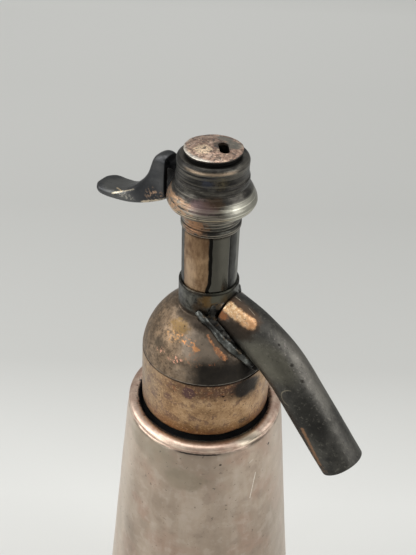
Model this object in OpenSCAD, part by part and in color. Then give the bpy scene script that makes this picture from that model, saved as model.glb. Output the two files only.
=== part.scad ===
// Soda siphon with a sheet-metal jacket round its glass bottle.
// Millimetres. +Z is up, the origin is the middle of the foot's resting face.
// The spout points along +X and the lever along -X.

/* [Jacket and foot] */
// Height of the jacket from the floor to the top of its rolled rim
jacket_h = 214.5; // [190:0.5:240]
// Outer diameter of the jacket just under its rolled rim
jacket_top_d = 59.5; // [58.5:0.1:61]
// Sheet thickness of the jacket
jacket_wall = 0.9; // [0.6:0.05:1.2]
// Thickness of the bead rolled at the jacket's top edge
rim_bead_d = 3.3; // [2.6:0.1:3.8]
// Widest diameter of the foot
foot_d = 108; // [100:0.5:120]
// How far the foot stands out past the jacket's cone at the floor
foot_step = 2.8; // [2.4:0.1:6]
// Height of the foot moulding
foot_h = 15; // [12:0.5:22]
// Thickness of the plate that closes the foot
base_plate_t = 1.6; // [1:0.1:2.4]
// Thickness of the cork disc under the bottle
base_cushion_t = 6; // [3:0.5:9]

/* [Bottle] */
// Space between the jacket and the glass
bottle_gap = 2.4; // [1.6:0.1:3.4]
// Thickness of the glass wall
glass_wall = 4.4; // [3:0.1:6]
// Thickness of the glass at the bottom of the bottle
glass_floor = 9; // [6:0.5:12]
// Outer diameter of the bottle's neck
bottle_neck_d = 31; // [29:0.1:33]
// Bore of the bottle's neck
bottle_bore_d = 20; // [18:0.1:22]
// Diameter of the lip round the bottle's mouth
lip_d = 38; // [36.5:0.1:39]
// Height of the lip
lip_h = 7.5; // [6:0.1:8.5]
// Glass tube that reaches to the bottom of the bottle: outer diameter
dip_tube_d = 8; // [6.5:0.1:9]
// Glass tube: wall
dip_tube_wall = 1.3; // [0.9:0.05:1.6]
// Distance from the end of the glass tube to the bottom inside the bottle
dip_tube_foot = 6; // [3:0.5:14]

/* [Collar nut] */
// Height of the collar nut's band
band_h = 23.1; // [21:0.1:27]
// Diameter of the band at its lower edge
band_bottom_d = 50; // [49.4:0.1:51]
// Diameter of the band at its upper edge
band_top_d = 48.6; // [48:0.1:49.4]
// Gap that shows between the jacket's rim and the band
band_gap = 2.4; // [1.5:0.1:5]
// Radius of the thread between the collar nut and the dome
nut_thread_r = 22.4; // [22:0.05:22.8]
// Thickness of the flange at the bottom of the collar nut
nut_flange_t = 3.5; // [2.5:0.1:4.5]
// Thickness of the rubber ring on the bottle's lip
lip_gasket_t = 2.2; // [1.5:0.1:3]

/* [Head and neck] */
// Radius of the dome's curve
dome_curve_r = 27.8; // [27.2:0.1:29]
// Height of the dome's skirt edge above the centre of that curve
dome_curve_rise = 3.6; // [2.5:0.1:5]
// Wall of the dome
dome_wall = 2.2; // [1.6:0.1:2.8]
// Height of the dome from its seam up to the neck collar
dome_h = 21.5; // [21:0.1:23]
// Outer diameter of the collar where the dome meets the neck
low_collar_d = 21.2; // [20.8:0.1:22]
// Height of that collar
low_collar_h = 8.7; // [8.4:0.1:12]
// Outer diameter of the neck
neck_d = 19.4; // [19:0.1:19.8]
// Length of plain neck that shows
neck_h = 22.4; // [18:0.1:34]
// Bore of the valve chamber inside the neck
chamber_d = 12.8; // [12.4:0.1:13.2]
// Length of the gland's counterbore in the top of the neck
gland_bore_h = 13; // [11:0.1:14]

/* [Spout] */
// Outer diameter of the spout
spout_d = 15.8; // [14.6:0.1:16.4]
// Wall of the spout
spout_wall = 1.6; // [1.1:0.1:2.2]
// Slope of the spout where it leaves the neck, in degrees below level
spout_start_slope = 9.3; // [6:0.1:12]
// Angle through which the spout bends, in degrees
spout_bend = 40; // [32:0.5:46]
// Radius of the bend, on the tube's centre line
spout_bend_r = 54; // [48:0.5:62]
// Length of the straight end of the spout
spout_straight = 32.6; // [20:0.1:48]
// Drop from the top of the lower collar to the spout's centre line
spout_drop = 10.5; // [10:0.1:11]
// Rounding of the spout's end
spout_end_round = 1.1; // [0.4:0.1:1.4]
// Width of the soldered saddle round the spout's root
saddle_w = 2.2; // [1.2:0.1:3]
// Thickness of that saddle
saddle_t = 0.9; // [0.5:0.1:1.2]

/* [Lever housing and cap] */
// Outer diameter of the socket that screws onto the neck
socket_d = 20.4; // [20:0.1:21]
// Length of that socket
socket_h = 7.4; // [6:0.1:9]
// Height of the housing above its socket
housing_h = 18.2; // [17.6:0.1:21]
// Widest diameter of the ring round the housing
ring_d = 29.8; // [28.6:0.1:30.4]
// Diameter of the housing's waist
waist_d = 23.2; // [22.6:0.1:24]
// Bore inside the housing
housing_bore_d = 14.8; // [14.4:0.1:15.2]
// Diameter of the cap
cap_d = 18.8; // [18:0.1:20]
// Thickness of the cap at its edge
cap_edge_t = 0.9; // [0.6:0.1:1.4]
// Height of the cap's crown above its edge
cap_crown = 0.9; // [0.4:0.1:1.4]
// Thickness of the leather ring under the cap
cap_washer_t = 1; // [0.6:0.1:1.4]
// Depth of the cap's screwed plug below the leather ring
cap_plug_h = 2.7; // [2:0.1:3]
// Length of the oval key hole in the cap
key_hole_l = 6.4; // [5:0.1:6.6]
// Width of the key hole
key_hole_w = 2.9; // [2:0.1:3]

/* [Lever] */
// Distance from the middle of the head to the lever's tip
lever_reach = 48.2; // [46:0.1:60]
// Drop from the lever's pin to the underside of its thumb pad
lever_drop = 20.7; // [18:0.1:25]
// Width of the thumb pad
pad_w = 11.6; // [8.6:0.1:12]
// Width of the tongue that goes through the housing's slot
tongue_w = 5.2; // [4.6:0.1:5.6]
// Distance from the spindle's axis to the lever's pin
lever_arm = 8.5; // [8.4:0.05:8.8]
// Diameter of the lever's pin
pin_d = 2.5; // [2:0.1:2.6]
// How far the lever turns, in degrees
lever_travel = 9; // [6:0.5:9]
// Drop from the top of the housing to the lever's pin
pin_drop = 8.7; // [8.4:0.1:9]

/* [Valve] */
// Diameter of the valve spindle
spindle_d = 3.2; // [2.8:0.1:3.6]
// Height of the valve seat above the bottom of the barrel
seat_rise = 14.8; // [14:0.1:15.4]
// Bore of the valve seat
seat_bore_d = 4.8; // [4:0.1:5.4]
// Diameter of the rubber valve disc
valve_disc_d = 8.8; // [8:0.1:9.2]
// Wire thickness of the valve spring
spring_wire = 1.1; // [0.9:0.05:1.2]
// Turns of the valve spring
spring_turns = 6; // [4:1:7]

/* [Clearances] */
// Radial clearance of a part that turns or slides
running = 0.05; // [0.03:0.01:0.08]
// Radial clearance of a part that is screwed, soldered or pushed in
seated = 0.02; // [0.01:0.01:0.04]
// Side clearance of the lever's tongue in its slot
slot_side = 0.2; // [0.15:0.05:0.3]

/* [Hidden] */
$fn = 96;
cut = 1;         // how far a cutting tool runs past the face it cuts
through = 120;   // length of a tool that cuts everything on its way
soft_fn = 32;    // sides of small round edges

// Heights, from the floor up
plate_z = 1.6;                                    // underside of the base plate
plate_top_z = plate_z + base_plate_t;
ledge_t = 2.8;                                    // thickness of the foot's inner ledge
ledge_top_z = plate_top_z + ledge_t;
bottle_z = plate_top_z + base_cushion_t;          // bottom of the bottle
band_z = jacket_h + band_gap;
seam_z = band_z + band_h;
step_z = seam_z - 0.8;                            // face in the dome that clamps the barrel's flange
flange_t = 3;
flange_z = step_z - flange_t;
lip_top_z = flange_z - lip_gasket_t;
lip_z = lip_top_z - lip_h;
low_collar_z = seam_z + dome_h;
neck_z = low_collar_z + low_collar_h;
socket_z = neck_z + neck_h;
housing_z = socket_z + socket_h;
washer_z = housing_z + housing_h;
cap_z = washer_z + cap_washer_t;
cap_top_z = cap_z + cap_edge_t;
spout_z = neck_z - spout_drop;
pin_z = washer_z - pin_drop;
barrel_top_z = housing_z - 1;
gland_z = barrel_top_z - gland_bore_h;
seat_z = flange_z + seat_rise;

// Radii
jacket_top_r = jacket_top_d / 2;
jacket_bottom_r = foot_d / 2 - foot_step;         // of the jacket's cone, at the floor
groove_z = jacket_h - rim_bead_d;                 // where the cone ends under the rolled bead
bead_r = jacket_top_r - 2;                        // centre line of the bead
taper = (jacket_bottom_r - jacket_top_r) / groove_z;
neck_r = neck_d / 2;
chamber_r = chamber_d / 2;
barrel_thread_r = neck_r - 0.8;
lower_bore_r = chamber_r - 0.6;                   // bore below the valve seat
gland_r = chamber_r + 0.6;
skirt_inner_r = nut_thread_r - 1.9;
dome_r = band_top_d / 2;
collar_r = low_collar_d / 2;
spout_r = spout_d / 2;
spout_bore_r = spout_r - spout_wall;
waist_r = waist_d / 2;
ring_r = ring_d / 2;
bore_r = housing_bore_d / 2;
cap_r = cap_d / 2;
spindle_r = spindle_d / 2;
pin_r = pin_d / 2;
rubber_bush_r = lower_bore_r;
valve_lift = lever_arm * lever_travel * PI / 180; // the spindle's travel

function jacket_r(z) = jacket_bottom_r - taper * z;
function glass_r(z) = jacket_r(z) - jacket_wall - bottle_gap;
function mix(a, b, t) = a + (b - a) * t;
function ease(t) = t * t * (3 - 2 * t);
function arc_points(x, y, r, from, to, steps) =
    [for (i = [0:steps]) let (a = mix(from, to, i / steps)) [x + r * cos(a), y + r * sin(a)]];

// ---------- jacket, foot and base ----------

module jacket() {
    wall_top = groove_z + rim_bead_d / 2;
    color([0.72, 0.69, 0.66])
    rotate_extrude() {
        polygon([
            [jacket_r(ledge_top_z) - jacket_wall, ledge_top_z],
            [jacket_r(ledge_top_z), ledge_top_z],
            [jacket_r(groove_z - 0.6), groove_z - 0.6],
            [jacket_r(groove_z) - 0.7, groove_z + 0.2],
            [bead_r + rim_bead_d * 0.35, wall_top],
            [bead_r, wall_top],
            [bead_r - rim_bead_d * 0.35, groove_z + 0.6],
            [jacket_r(groove_z - 2) - jacket_wall, groove_z - 2],
        ]);
        translate([bead_r, jacket_h - rim_bead_d / 2]) circle(d = rim_bead_d, $fn = soft_fn);
    }
}

ledge_inner_r = jacket_bottom_r - 9;              // edge of the opening in the foot's ledge
screw_circle_r = jacket_bottom_r - 5;
screw_count = 3;
screw_r = 1.5;
plate_r = jacket_bottom_r - 1.6;

module at_screws() {
    for (i = [0:screw_count - 1]) rotate([0, 0, 60 + i * 360 / screw_count])
        translate([screw_circle_r, 0, 0]) children();
}

module foot_ring() {
    inner = jacket_r(ledge_top_z) + seated;
    outer = foot_d / 2;
    top = jacket_r(foot_h) + 0.9;
    color([0.66, 0.62, 0.58])
    difference() {
        rotate_extrude() polygon(concat(
            [[plate_r + seated, 0], [outer - 1, 0]],
            arc_points(outer - 1, 1, 1, -90, 0, 4),
            arc_points(outer - 1, 4.2, 1, 0, 90, 4),
            [[outer - 2, 5.8]],
            [for (i = [0:6]) let (t = i / 6) [mix(outer - 2.2, top + 0.6, ease(t)), mix(6.4, foot_h - 3, t)]],
            arc_points(top, foot_h - 1.4, 1.1, -50, 90, 6),
            [[jacket_r(foot_h - 0.3) + seated, foot_h - 0.3],
             [inner, ledge_top_z],
             [ledge_inner_r, ledge_top_z],
             [ledge_inner_r, plate_top_z],
             [plate_r + seated, plate_top_z]]
        ));
        at_screws() translate([0, 0, plate_top_z - cut]) cylinder(r = screw_r, h = ledge_t + 2 * cut, $fn = soft_fn);
    }
}

module base_plate() {
    color([0.60, 0.56, 0.50])
    difference() {
        union() {
            translate([0, 0, plate_z]) cylinder(r = plate_r, h = base_plate_t);
            // pressed ring that stiffens the plate
            translate([0, 0, plate_z - 0.7]) difference() {
                cylinder(r = ledge_inner_r - 8, h = 0.7);
                translate([0, 0, -cut]) cylinder(r = ledge_inner_r - 12, h = 0.7 + 2 * cut);
            }
        }
        at_screws() translate([0, 0, plate_z - cut])
            cylinder(r = screw_r + 0.2, h = base_plate_t + 2 * cut, $fn = soft_fn);
    }
}

module base_screws() {
    head_h = 1.1;
    color([0.55, 0.48, 0.36])
    at_screws() difference() {
        union() {
            translate([0, 0, plate_z - head_h]) cylinder(r1 = 2.3, r2 = 2.8, h = head_h, $fn = soft_fn);
            translate([0, 0, plate_z]) cylinder(r = screw_r - seated, h = base_plate_t + ledge_t, $fn = soft_fn);
        }
        translate([-3, -0.35, plate_z - head_h - cut]) cube([6, 0.7, cut + 0.5]);
    }
}

module base_cushion() {
    color([0.62, 0.45, 0.28])
    translate([0, 0, plate_top_z]) cylinder(r = ledge_inner_r - seated, h = base_cushion_t);
}

// ---------- bottle ----------

shoulder_h = 26;                                  // length of the curve from body to neck
shoulder_top_z = jacket_h - 10;
shoulder_z = shoulder_top_z - shoulder_h;
heel_r = 11;                                      // curve between the bottle's side and its bottom
bottle_neck_r = bottle_neck_d / 2;
bottle_bore_r = bottle_bore_d / 2;

// Outline of the bottle grown by some thickness, which is negative for the inside
function shoulder_curve(from_r, to_r, from_z, to_z) =
    [for (i = [0:10]) let (t = i / 10) [mix(from_r, to_r, ease(t)), mix(from_z, to_z, t)]];

module bottle_outside(grow = 0) {
    side_r = glass_r(bottle_z + heel_r);
    lip_r = lip_d / 2 + grow;
    rotate_extrude() polygon(concat(
        [[0, bottle_z + 3 - grow], [side_r - heel_r - 5, bottle_z + 2 - grow]],
        [[side_r - heel_r - 1, bottle_z - grow]],
        arc_points(side_r - heel_r, bottle_z + heel_r, heel_r + grow, -90, 0, 6),
        shoulder_curve(glass_r(shoulder_z) + grow, bottle_neck_r + grow, shoulder_z, shoulder_top_z),
        [[bottle_neck_r + grow, lip_z - grow],
         [lip_r, lip_z - grow],
         [lip_r, lip_top_z - 2],
         [lip_r - 0.6, lip_top_z - 0.6],
         [lip_r - 2, lip_top_z + grow],
         [0, lip_top_z + grow]]
    ));
}

module bottle_inside() {
    floor_z = bottle_z + glass_floor;
    heel_in_r = heel_r - 3;
    side_r = glass_r(floor_z + heel_in_r) - glass_wall;
    rotate_extrude() polygon(concat(
        [[0, floor_z + 2], [side_r - heel_in_r - 3, floor_z]],
        arc_points(side_r - heel_in_r, floor_z + heel_in_r, heel_in_r, -90, 0, 6),
        shoulder_curve(glass_r(shoulder_z) - glass_wall, bottle_bore_r, shoulder_z - 2, shoulder_top_z - 1),
        [[bottle_bore_r, lip_top_z + cut], [0, lip_top_z + cut]]
    ));
}

module glass_bottle() {
    color([0.75, 0.86, 0.84, 0.35])
    difference() {
        bottle_outside();
        bottle_inside();
    }
}

cushion_above = 4.5;                              // how far the rubber reaches above the shoulder's top
cushion_below = 6;
cushion_chamfer = 1;

module neck_cushion() {
    top_z = shoulder_top_z + cushion_above;
    bottom_z = shoulder_top_z - cushion_below;
    color([0.10, 0.10, 0.10])
    difference() {
        rotate_extrude() polygon([
            [bottle_neck_r, bottom_z],
            [jacket_r(bottom_z) - jacket_wall - seated, bottom_z],
            [jacket_r(top_z) - jacket_wall - seated, top_z],
            [bottle_neck_r + cushion_chamfer, top_z],
            [bottle_neck_r, top_z - cushion_chamfer],
        ]);
        bottle_outside(seated);
    }
}

grind_angle = 24;                                 // slant of the tube's ground end
grind = 20;

module dip_tube() {
    tip_z = bottle_z + glass_floor + dip_tube_foot;
    color([0.80, 0.90, 0.88, 0.35])
    difference() {
        translate([0, 0, tip_z]) cylinder(d = dip_tube_d, h = bush_top_z - 1 - tip_z);
        translate([0, 0, tip_z - cut]) cylinder(d = dip_tube_d - 2 * dip_tube_wall, h = bush_top_z - tip_z + cut);
        // the end is ground at a slant so that it can't seal against the glass
        translate([0, 0, tip_z]) rotate([0, grind_angle, 0]) translate([-grind, -grind, -grind])
            cube([2 * grind, 2 * grind, grind]);
    }
}

// ---------- collar that clamps the head to the bottle ----------

module collar_nut() {
    edge = 0.9;
    color([0.70, 0.58, 0.44])
    difference() {
        rotate_extrude() polygon(concat(
            [[0, band_z]],
            arc_points(band_bottom_d / 2 - edge, band_z + edge, edge, -90, 0, 4),
            [[band_top_d / 2, seam_z], [0, seam_z]]
        ));
        translate([0, 0, band_z + nut_flange_t]) cylinder(r = nut_thread_r, h = band_h);
        translate([0, 0, band_z - cut]) cylinder(r = lip_d / 2 + 0.6, h = nut_flange_t + 2 * cut);
    }
}

module split_collar_half(side) {
    half_gap = 0.3;
    bottom_z = band_z + nut_flange_t;
    color([0.62, 0.54, 0.40])
    difference() {
        translate([0, 0, bottom_z]) cylinder(r = nut_thread_r - 0.3, h = lip_z - bottom_z);
        translate([0, 0, bottom_z - cut]) cylinder(r = bottle_neck_r + 0.3, h = lip_z - bottom_z + 2 * cut);
        translate([-through / 2, side > 0 ? half_gap - through : -half_gap, bottom_z - cut])
            cube([through, through, through]);
    }
}

module split_collar_left() { split_collar_half(1); }
module split_collar_right() { split_collar_half(-1); }

module lip_gasket() {
    color([0.45, 0.12, 0.10])
    translate([0, 0, lip_top_z]) difference() {
        cylinder(r = skirt_inner_r - 0.3, h = lip_gasket_t);
        translate([0, 0, -cut]) cylinder(r = bottle_bore_r, h = lip_gasket_t + 2 * cut);
    }
}

// ---------- head, neck and spout ----------

skirt_z = lip_z + 1;                              // bottom of the dome's screwed skirt
dome_centre_r = dome_r - sqrt(pow(dome_curve_r, 2) - pow(dome_curve_rise, 2));
dome_centre_z = seam_z - dome_curve_rise;
fillet = 1.5;                                     // cove between the dome and the neck collar

// Angle on the dome's curve at which it has come in to radius r
function dome_angle(r, curve_r) = acos((r - dome_centre_r) / curve_r);

function dome_outline(grow) =
    let (curve_r = dome_curve_r + grow, top_r = collar_r + grow,
         join = dome_angle(top_r + fillet, curve_r),
         join_z = dome_centre_z + curve_r * sin(join))
    concat(
        arc_points(dome_centre_r, dome_centre_z, curve_r, asin(dome_curve_rise / curve_r), join, 14),
        arc_points(top_r + fillet, join_z + fillet * 0.75, fillet * 0.75, 215, 180, 3),
        [[top_r, join_z + fillet]]
    );

module head_solid(grow = 0) {
    rotate_extrude() polygon(concat(
        [[0, seam_z]],
        dome_outline(grow),
        [[collar_r + grow, neck_z - 0.4 + grow], [collar_r + grow - 0.4, neck_z + grow], [0, neck_z + grow]]
    ));
}

module head_dome() {
    inner_curve_r = dome_curve_r - dome_wall;
    roof = dome_angle(neck_r + 0.8, inner_curve_r);
    color([0.48, 0.42, 0.36])
    difference() {
        union() {
            head_solid();
            translate([0, 0, skirt_z]) cylinder(r = nut_thread_r - seated, h = seam_z - skirt_z);
        }
        translate([0, 0, skirt_z - cut]) cylinder(r = skirt_inner_r, h = step_z - skirt_z + cut);
        // hollow under the dome, above the face that clamps the barrel
        rotate_extrude() polygon(concat(
            [[0, step_z - cut / 2], [skirt_inner_r - 3, step_z - cut / 2], [skirt_inner_r - 3, step_z + 2]],
            arc_points(dome_centre_r, dome_centre_z, inner_curve_r, 24, roof, 8),
            [[0, dome_centre_z + inner_curve_r * sin(roof)]]
        ));
        translate([0, 0, step_z]) cylinder(r = neck_r + seated, h = through);
        spout_path(spout_r + seated);
    }
}

port_r = 4.6;

module neck_barrel() {
    color([0.74, 0.60, 0.45])
    difference() {
        union() {
            translate([0, 0, flange_z]) cylinder(r = skirt_inner_r - 0.3, h = flange_t);
            translate([0, 0, flange_z]) cylinder(r = neck_r, h = socket_z - flange_z);
            translate([0, 0, flange_z]) cylinder(r = barrel_thread_r, h = barrel_top_z - flange_z);
        }
        translate([0, 0, flange_z - cut]) cylinder(r = lower_bore_r, h = through);
        translate([0, 0, seat_z - seat_body_h]) cylinder(r = chamber_r, h = through);
        translate([0, 0, gland_z]) cylinder(r = gland_r, h = gland_bore_h + cut);
        translate([0, 0, spout_z]) rotate([0, 90 + spout_start_slope, 0]) cylinder(r = port_r, h = neck_d);
    }
}

spout_root_x = 6;                                 // the bend starts inside the barrel's wall
bend_centre_x = spout_root_x - spout_bend_r * sin(spout_start_slope);
bend_centre_z = spout_z - spout_bend_r * cos(spout_start_slope);
spout_end_slope = spout_start_slope + spout_bend;

// Places a shape, drawn with +Z along the spout's outlet and its origin at the end of the bend
module at_spout_straight() {
    translate([bend_centre_x + spout_bend_r * sin(spout_end_slope), 0,
               bend_centre_z + spout_bend_r * cos(spout_end_slope)])
        rotate([0, 90 + spout_end_slope, 0]) children();
}

// The bend is drawn a hair fatter than the straight end, which starts a little way inside it,
// so that the two are one solid
bend_overlap = 1;
bend_swell = 0.02;

module spout_bend_tube(r, extra = 0) {
    translate([bend_centre_x, 0, bend_centre_z]) rotate([90, 0, 0])
        rotate([0, 0, 90 - spout_end_slope])
            rotate_extrude(angle = spout_bend + extra) translate([spout_bend_r, 0]) circle(r = r + bend_swell);
}

module spout_path(r) {
    spout_bend_tube(r);
    at_spout_straight() translate([0, 0, -bend_overlap]) cylinder(r = r, h = spout_straight + bend_overlap);
}

module spout() {
    color([0.34, 0.33, 0.31])
    difference() {
        union() {
            spout_bend_tube(spout_r);
            at_spout_straight() rotate_extrude() polygon(concat(
                [[0, -bend_overlap], [spout_r, -bend_overlap]],
                arc_points(spout_r - spout_end_round, spout_straight - spout_end_round, spout_end_round, 0, 90, 5),
                [[0, spout_straight]]
            ));
        }
        spout_bend_tube(spout_bore_r, 4);
        at_spout_straight() translate([0, 0, -bend_overlap])
            cylinder(r = spout_bore_r, h = spout_straight + bend_overlap + cut);
        translate([0, 0, flange_z]) cylinder(r = neck_r + seated, h = through);
        translate([spout_root_x + 1 - through, -through / 2, flange_z]) cube([through, through, through]);
    }
}

module spout_saddle() {
    color([0.52, 0.50, 0.48])
    difference() {
        intersection() {
            head_solid(saddle_t);
            spout_bend_tube(spout_r + saddle_w);
            translate([collar_r * 0.35, -through / 2, seam_z + 2]) cube([through, through, through]);
        }
        head_solid(seated);
        spout_path(spout_r + seated);
    }
}

// ---------- valve ----------

seat_body_h = 4;
seat_lip = 0.6;                                   // height of the ring that the rubber seals on
bush_top_z = seat_z - seat_body_h - 0.5;
bush_rim_t = 1.8;

module dip_tube_bush() {
    color([0.16, 0.15, 0.14])
    difference() {
        union() {
            translate([0, 0, flange_z]) cylinder(r = rubber_bush_r - seated, h = bush_top_z - flange_z);
            translate([0, 0, flange_z - bush_rim_t]) cylinder(r = rubber_bush_r + 2, h = bush_rim_t);
        }
        translate([0, 0, flange_z - bush_rim_t - cut]) cylinder(r = dip_tube_d / 2 + seated, h = through);
    }
}

module valve_seat() {
    color([0.78, 0.64, 0.35])
    difference() {
        union() {
            translate([0, 0, seat_z - seat_body_h]) cylinder(r = chamber_r - seated, h = seat_body_h - seat_lip);
            translate([0, 0, seat_z - seat_lip - 0.01])
                cylinder(r1 = seat_bore_d / 2 + 1.4, r2 = seat_bore_d / 2 + 0.7, h = seat_lip + 0.01);
        }
        translate([0, 0, seat_z - seat_body_h - cut]) cylinder(d = seat_bore_d, h = seat_body_h + 2 * cut);
    }
}

disc_t = 2.2;
holder_r = chamber_r - 1;
holder_h = 5;
holder_z = seat_z + 0.6;

module valve_disc() {
    color([0.12, 0.12, 0.12])
    translate([0, 0, seat_z]) cylinder(d = valve_disc_d, h = disc_t);
}

module valve_holder() {
    color([0.78, 0.64, 0.35])
    difference() {
        union() {
            translate([0, 0, holder_z]) cylinder(r = holder_r, h = holder_h - 1.4);
            translate([0, 0, holder_z + holder_h - 1.4]) cylinder(r1 = holder_r, r2 = spindle_r + 1.2, h = 1.4);
        }
        translate([0, 0, seat_z - cut]) cylinder(r = valve_disc_d / 2 + seated, h = disc_t + cut);
        translate([0, 0, seat_z + disc_t + 0.6]) cylinder(r = spindle_r + seated, h = holder_h);
    }
}

spring_collar_t = 1.2;
spring_z = spout_z + port_r + 4.5;                // bottom of the spring
spring_h = gland_z - spring_z;

module spring_collar() {
    color([0.78, 0.64, 0.35])
    translate([0, 0, spring_z - spring_collar_t]) difference() {
        cylinder(r = chamber_r - 0.8, h = spring_collar_t);
        translate([0, 0, -cut]) cylinder(r = spindle_r + seated, h = spring_collar_t + 2 * cut);
    }
}

head_z = pin_z - 5.9;                             // bottom of the spindle's head
head_h = 8.8;
head_r = bore_r - 2.2;
nose_z = pin_z - lever_arm * sin(lever_travel / 2);
nose_r = 1.6;

module valve_spindle() {
    bottom_z = seat_z + disc_t + 0.6;
    thread_h = 2.4;
    color([0.80, 0.68, 0.40])
    translate([0, 0, bottom_z]) cylinder(r = spindle_r, h = head_z + thread_h - 0.4 - bottom_z);
}

// The head on the spindle has a window that the lever's nose lifts
module spindle_head() {
    thread_h = 2.4;
    color([0.78, 0.64, 0.35])
    difference() {
        translate([0, 0, head_z]) cylinder(r = head_r, h = head_h);
        translate([0, 0, head_z - cut]) cylinder(r = spindle_r + seated, h = thread_h + cut - 0.4);
        translate([-head_r - cut, -tongue_w / 2 - slot_side, nose_z - nose_r - running])
            cube([head_r + cut + nose_r + 0.3, tongue_w + 2 * slot_side, 2 * (nose_r + running)]);
    }
}

spring_r = chamber_r - spring_wire / 2 - 1.1;     // centre line of the spring's coil
coil_steps = 12;                                  // rings in each turn
coil_sides = 6;

function coil_point(i) =
    let (n = spring_turns * coil_steps, a = 360 * i / coil_steps)
    [spring_r * cos(a), spring_r * sin(a),
     mix(spring_z + spring_wire / 2, gland_z - spring_wire / 2, i / n)];

function coil_ring(i) =
    let (p = coil_point(i), a = 360 * i / coil_steps)
    [for (s = [0:coil_sides - 1]) let (b = 360 * s / coil_sides, out = spring_wire / 2 * cos(b))
        [p[0] + out * cos(a), p[1] + out * sin(a), p[2] + spring_wire / 2 * sin(b)]];

// Skin of a tube from its rings, closed at both ends
function tube_faces(rings, sides) = concat(
    [[for (s = [0:sides - 1]) s]],
    [for (i = [0:rings - 2], s = [0:sides - 1]) let (n = (s + 1) % sides)
        [i * sides + s, (i + 1) * sides + s, (i + 1) * sides + n]],
    [for (i = [0:rings - 2], s = [0:sides - 1]) let (n = (s + 1) % sides)
        [i * sides + s, (i + 1) * sides + n, i * sides + n]],
    [[for (s = [sides - 1:-1:0]) (rings - 1) * sides + s]]
);

module valve_spring() {
    rings = spring_turns * coil_steps + 1;
    least_gap = min([for (i = [0:rings - 1 - coil_steps]) norm(coil_point(i + coil_steps) - coil_point(i))])
        - spring_wire;
    echo(spring_least_gap = least_gap);
    color([0.60, 0.60, 0.62])
    polyhedron(
        points = [for (i = [0:rings - 1]) each coil_ring(i)],
        faces = tube_faces(rings, coil_sides)
    );
}

washer_t = 1;
packing_h = 4;

module packing_washer() {
    color([0.78, 0.64, 0.35])
    translate([0, 0, gland_z]) difference() {
        cylinder(r = gland_r - seated, h = washer_t);
        translate([0, 0, -cut]) cylinder(r = spindle_r + running, h = washer_t + 2 * cut);
    }
}

module spindle_packing() {
    color([0.55, 0.42, 0.26])
    translate([0, 0, gland_z + washer_t]) difference() {
        cylinder(r = gland_r - seated, h = packing_h);
        translate([0, 0, -cut]) cylinder(r = spindle_r + running, h = packing_h + 2 * cut);
    }
}

module gland_nut() {
    bottom_z = gland_z + washer_t + packing_h;
    nut_h = barrel_top_z - bottom_z;
    color([0.78, 0.64, 0.35])
    translate([0, 0, bottom_z]) difference() {
        cylinder(r = gland_r - seated, h = nut_h);
        translate([0, 0, -cut]) cylinder(r = spindle_r + running, h = nut_h + 2 * cut);
        translate([-gland_r - cut, -0.9, nut_h - 1.6]) cube([2 * (gland_r + cut), 1.8, 1.6 + cut]);
    }
}

// ---------- lever housing, cap and lever ----------

bead_grow = 0.5;                                  // how far the small bead stands out of the waist
slot_below = 2.9;                                 // depth of the lever's slot below its pin
slot_above = 2.5;

// Places a shape, drawn round Z, along the lever pin's direction
module across_head(x, z) {
    translate([x, 0, z]) rotate([90, 0, 0]) children();
}

module lever_housing() {
    top = washer_z;
    color([0.36, 0.33, 0.30])
    difference() {
        rotate_extrude() polygon([
            [0, socket_z],
            [socket_d / 2, socket_z],
            [socket_d / 2, socket_z + 1.6],
            [socket_d / 2 - 0.35, socket_z + 2.1],
            [socket_d / 2 - 0.35, housing_z - 0.8],
            [socket_d / 2 + 0.7, housing_z - 0.2],
            [ring_r - 2, housing_z + 0.2],
            [ring_r - 0.6, housing_z + 1.1],
            [ring_r, housing_z + 2.4],
            [ring_r - 0.15, housing_z + 3.6],
            [ring_r - 0.6, housing_z + 4.5],
            [mix(ring_r, waist_r, 0.38), housing_z + 6.1],
            [mix(ring_r, waist_r, 0.68), housing_z + 7.5],
            [waist_r + 0.3, housing_z + 9],
            [waist_r + bead_grow, housing_z + 9.6],
            [waist_r + bead_grow, housing_z + 11.2],
            [waist_r + 0.1, housing_z + 11.9],
            [waist_r, top - 4.2],
            [waist_r + 0.2, top - 1.6],
            [waist_r, top - 1],
            [waist_r - 0.5, top - 0.4],
            [waist_r - 1.1, top],
            [0, top],
        ]);
        translate([0, 0, socket_z - cut]) cylinder(r = barrel_thread_r + seated, h = barrel_top_z - socket_z + cut);
        translate([0, 0, barrel_top_z - cut]) cylinder(r = bore_r, h = through);
        // slot for the lever's tongue
        translate([-ring_r - cut, -tongue_w / 2 - slot_side, pin_z - slot_below])
            cube([ring_r + cut - 2, tongue_w + 2 * slot_side, slot_below + slot_above]);
        across_head(-lever_arm, pin_z) cylinder(r = pin_r + seated / 2, h = through, center = true, $fn = soft_fn);
    }
}

module lever_pin() {
    half = sqrt(pow(waist_r, 2) - pow(lever_arm + pin_r, 2)) - 0.1;
    color([0.60, 0.55, 0.45])
    across_head(-lever_arm, pin_z) cylinder(r = pin_r, h = 2 * half, center = true, $fn = soft_fn);
}

module cap_washer() {
    color([0.20, 0.16, 0.13])
    translate([0, 0, washer_z]) difference() {
        cylinder(r = cap_r - 0.5, h = cap_washer_t);
        translate([0, 0, -cut]) cylinder(r = bore_r, h = cap_washer_t + 2 * cut);
    }
}

key_hole_turn = -47;
key_hole_off = 3.3;

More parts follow.
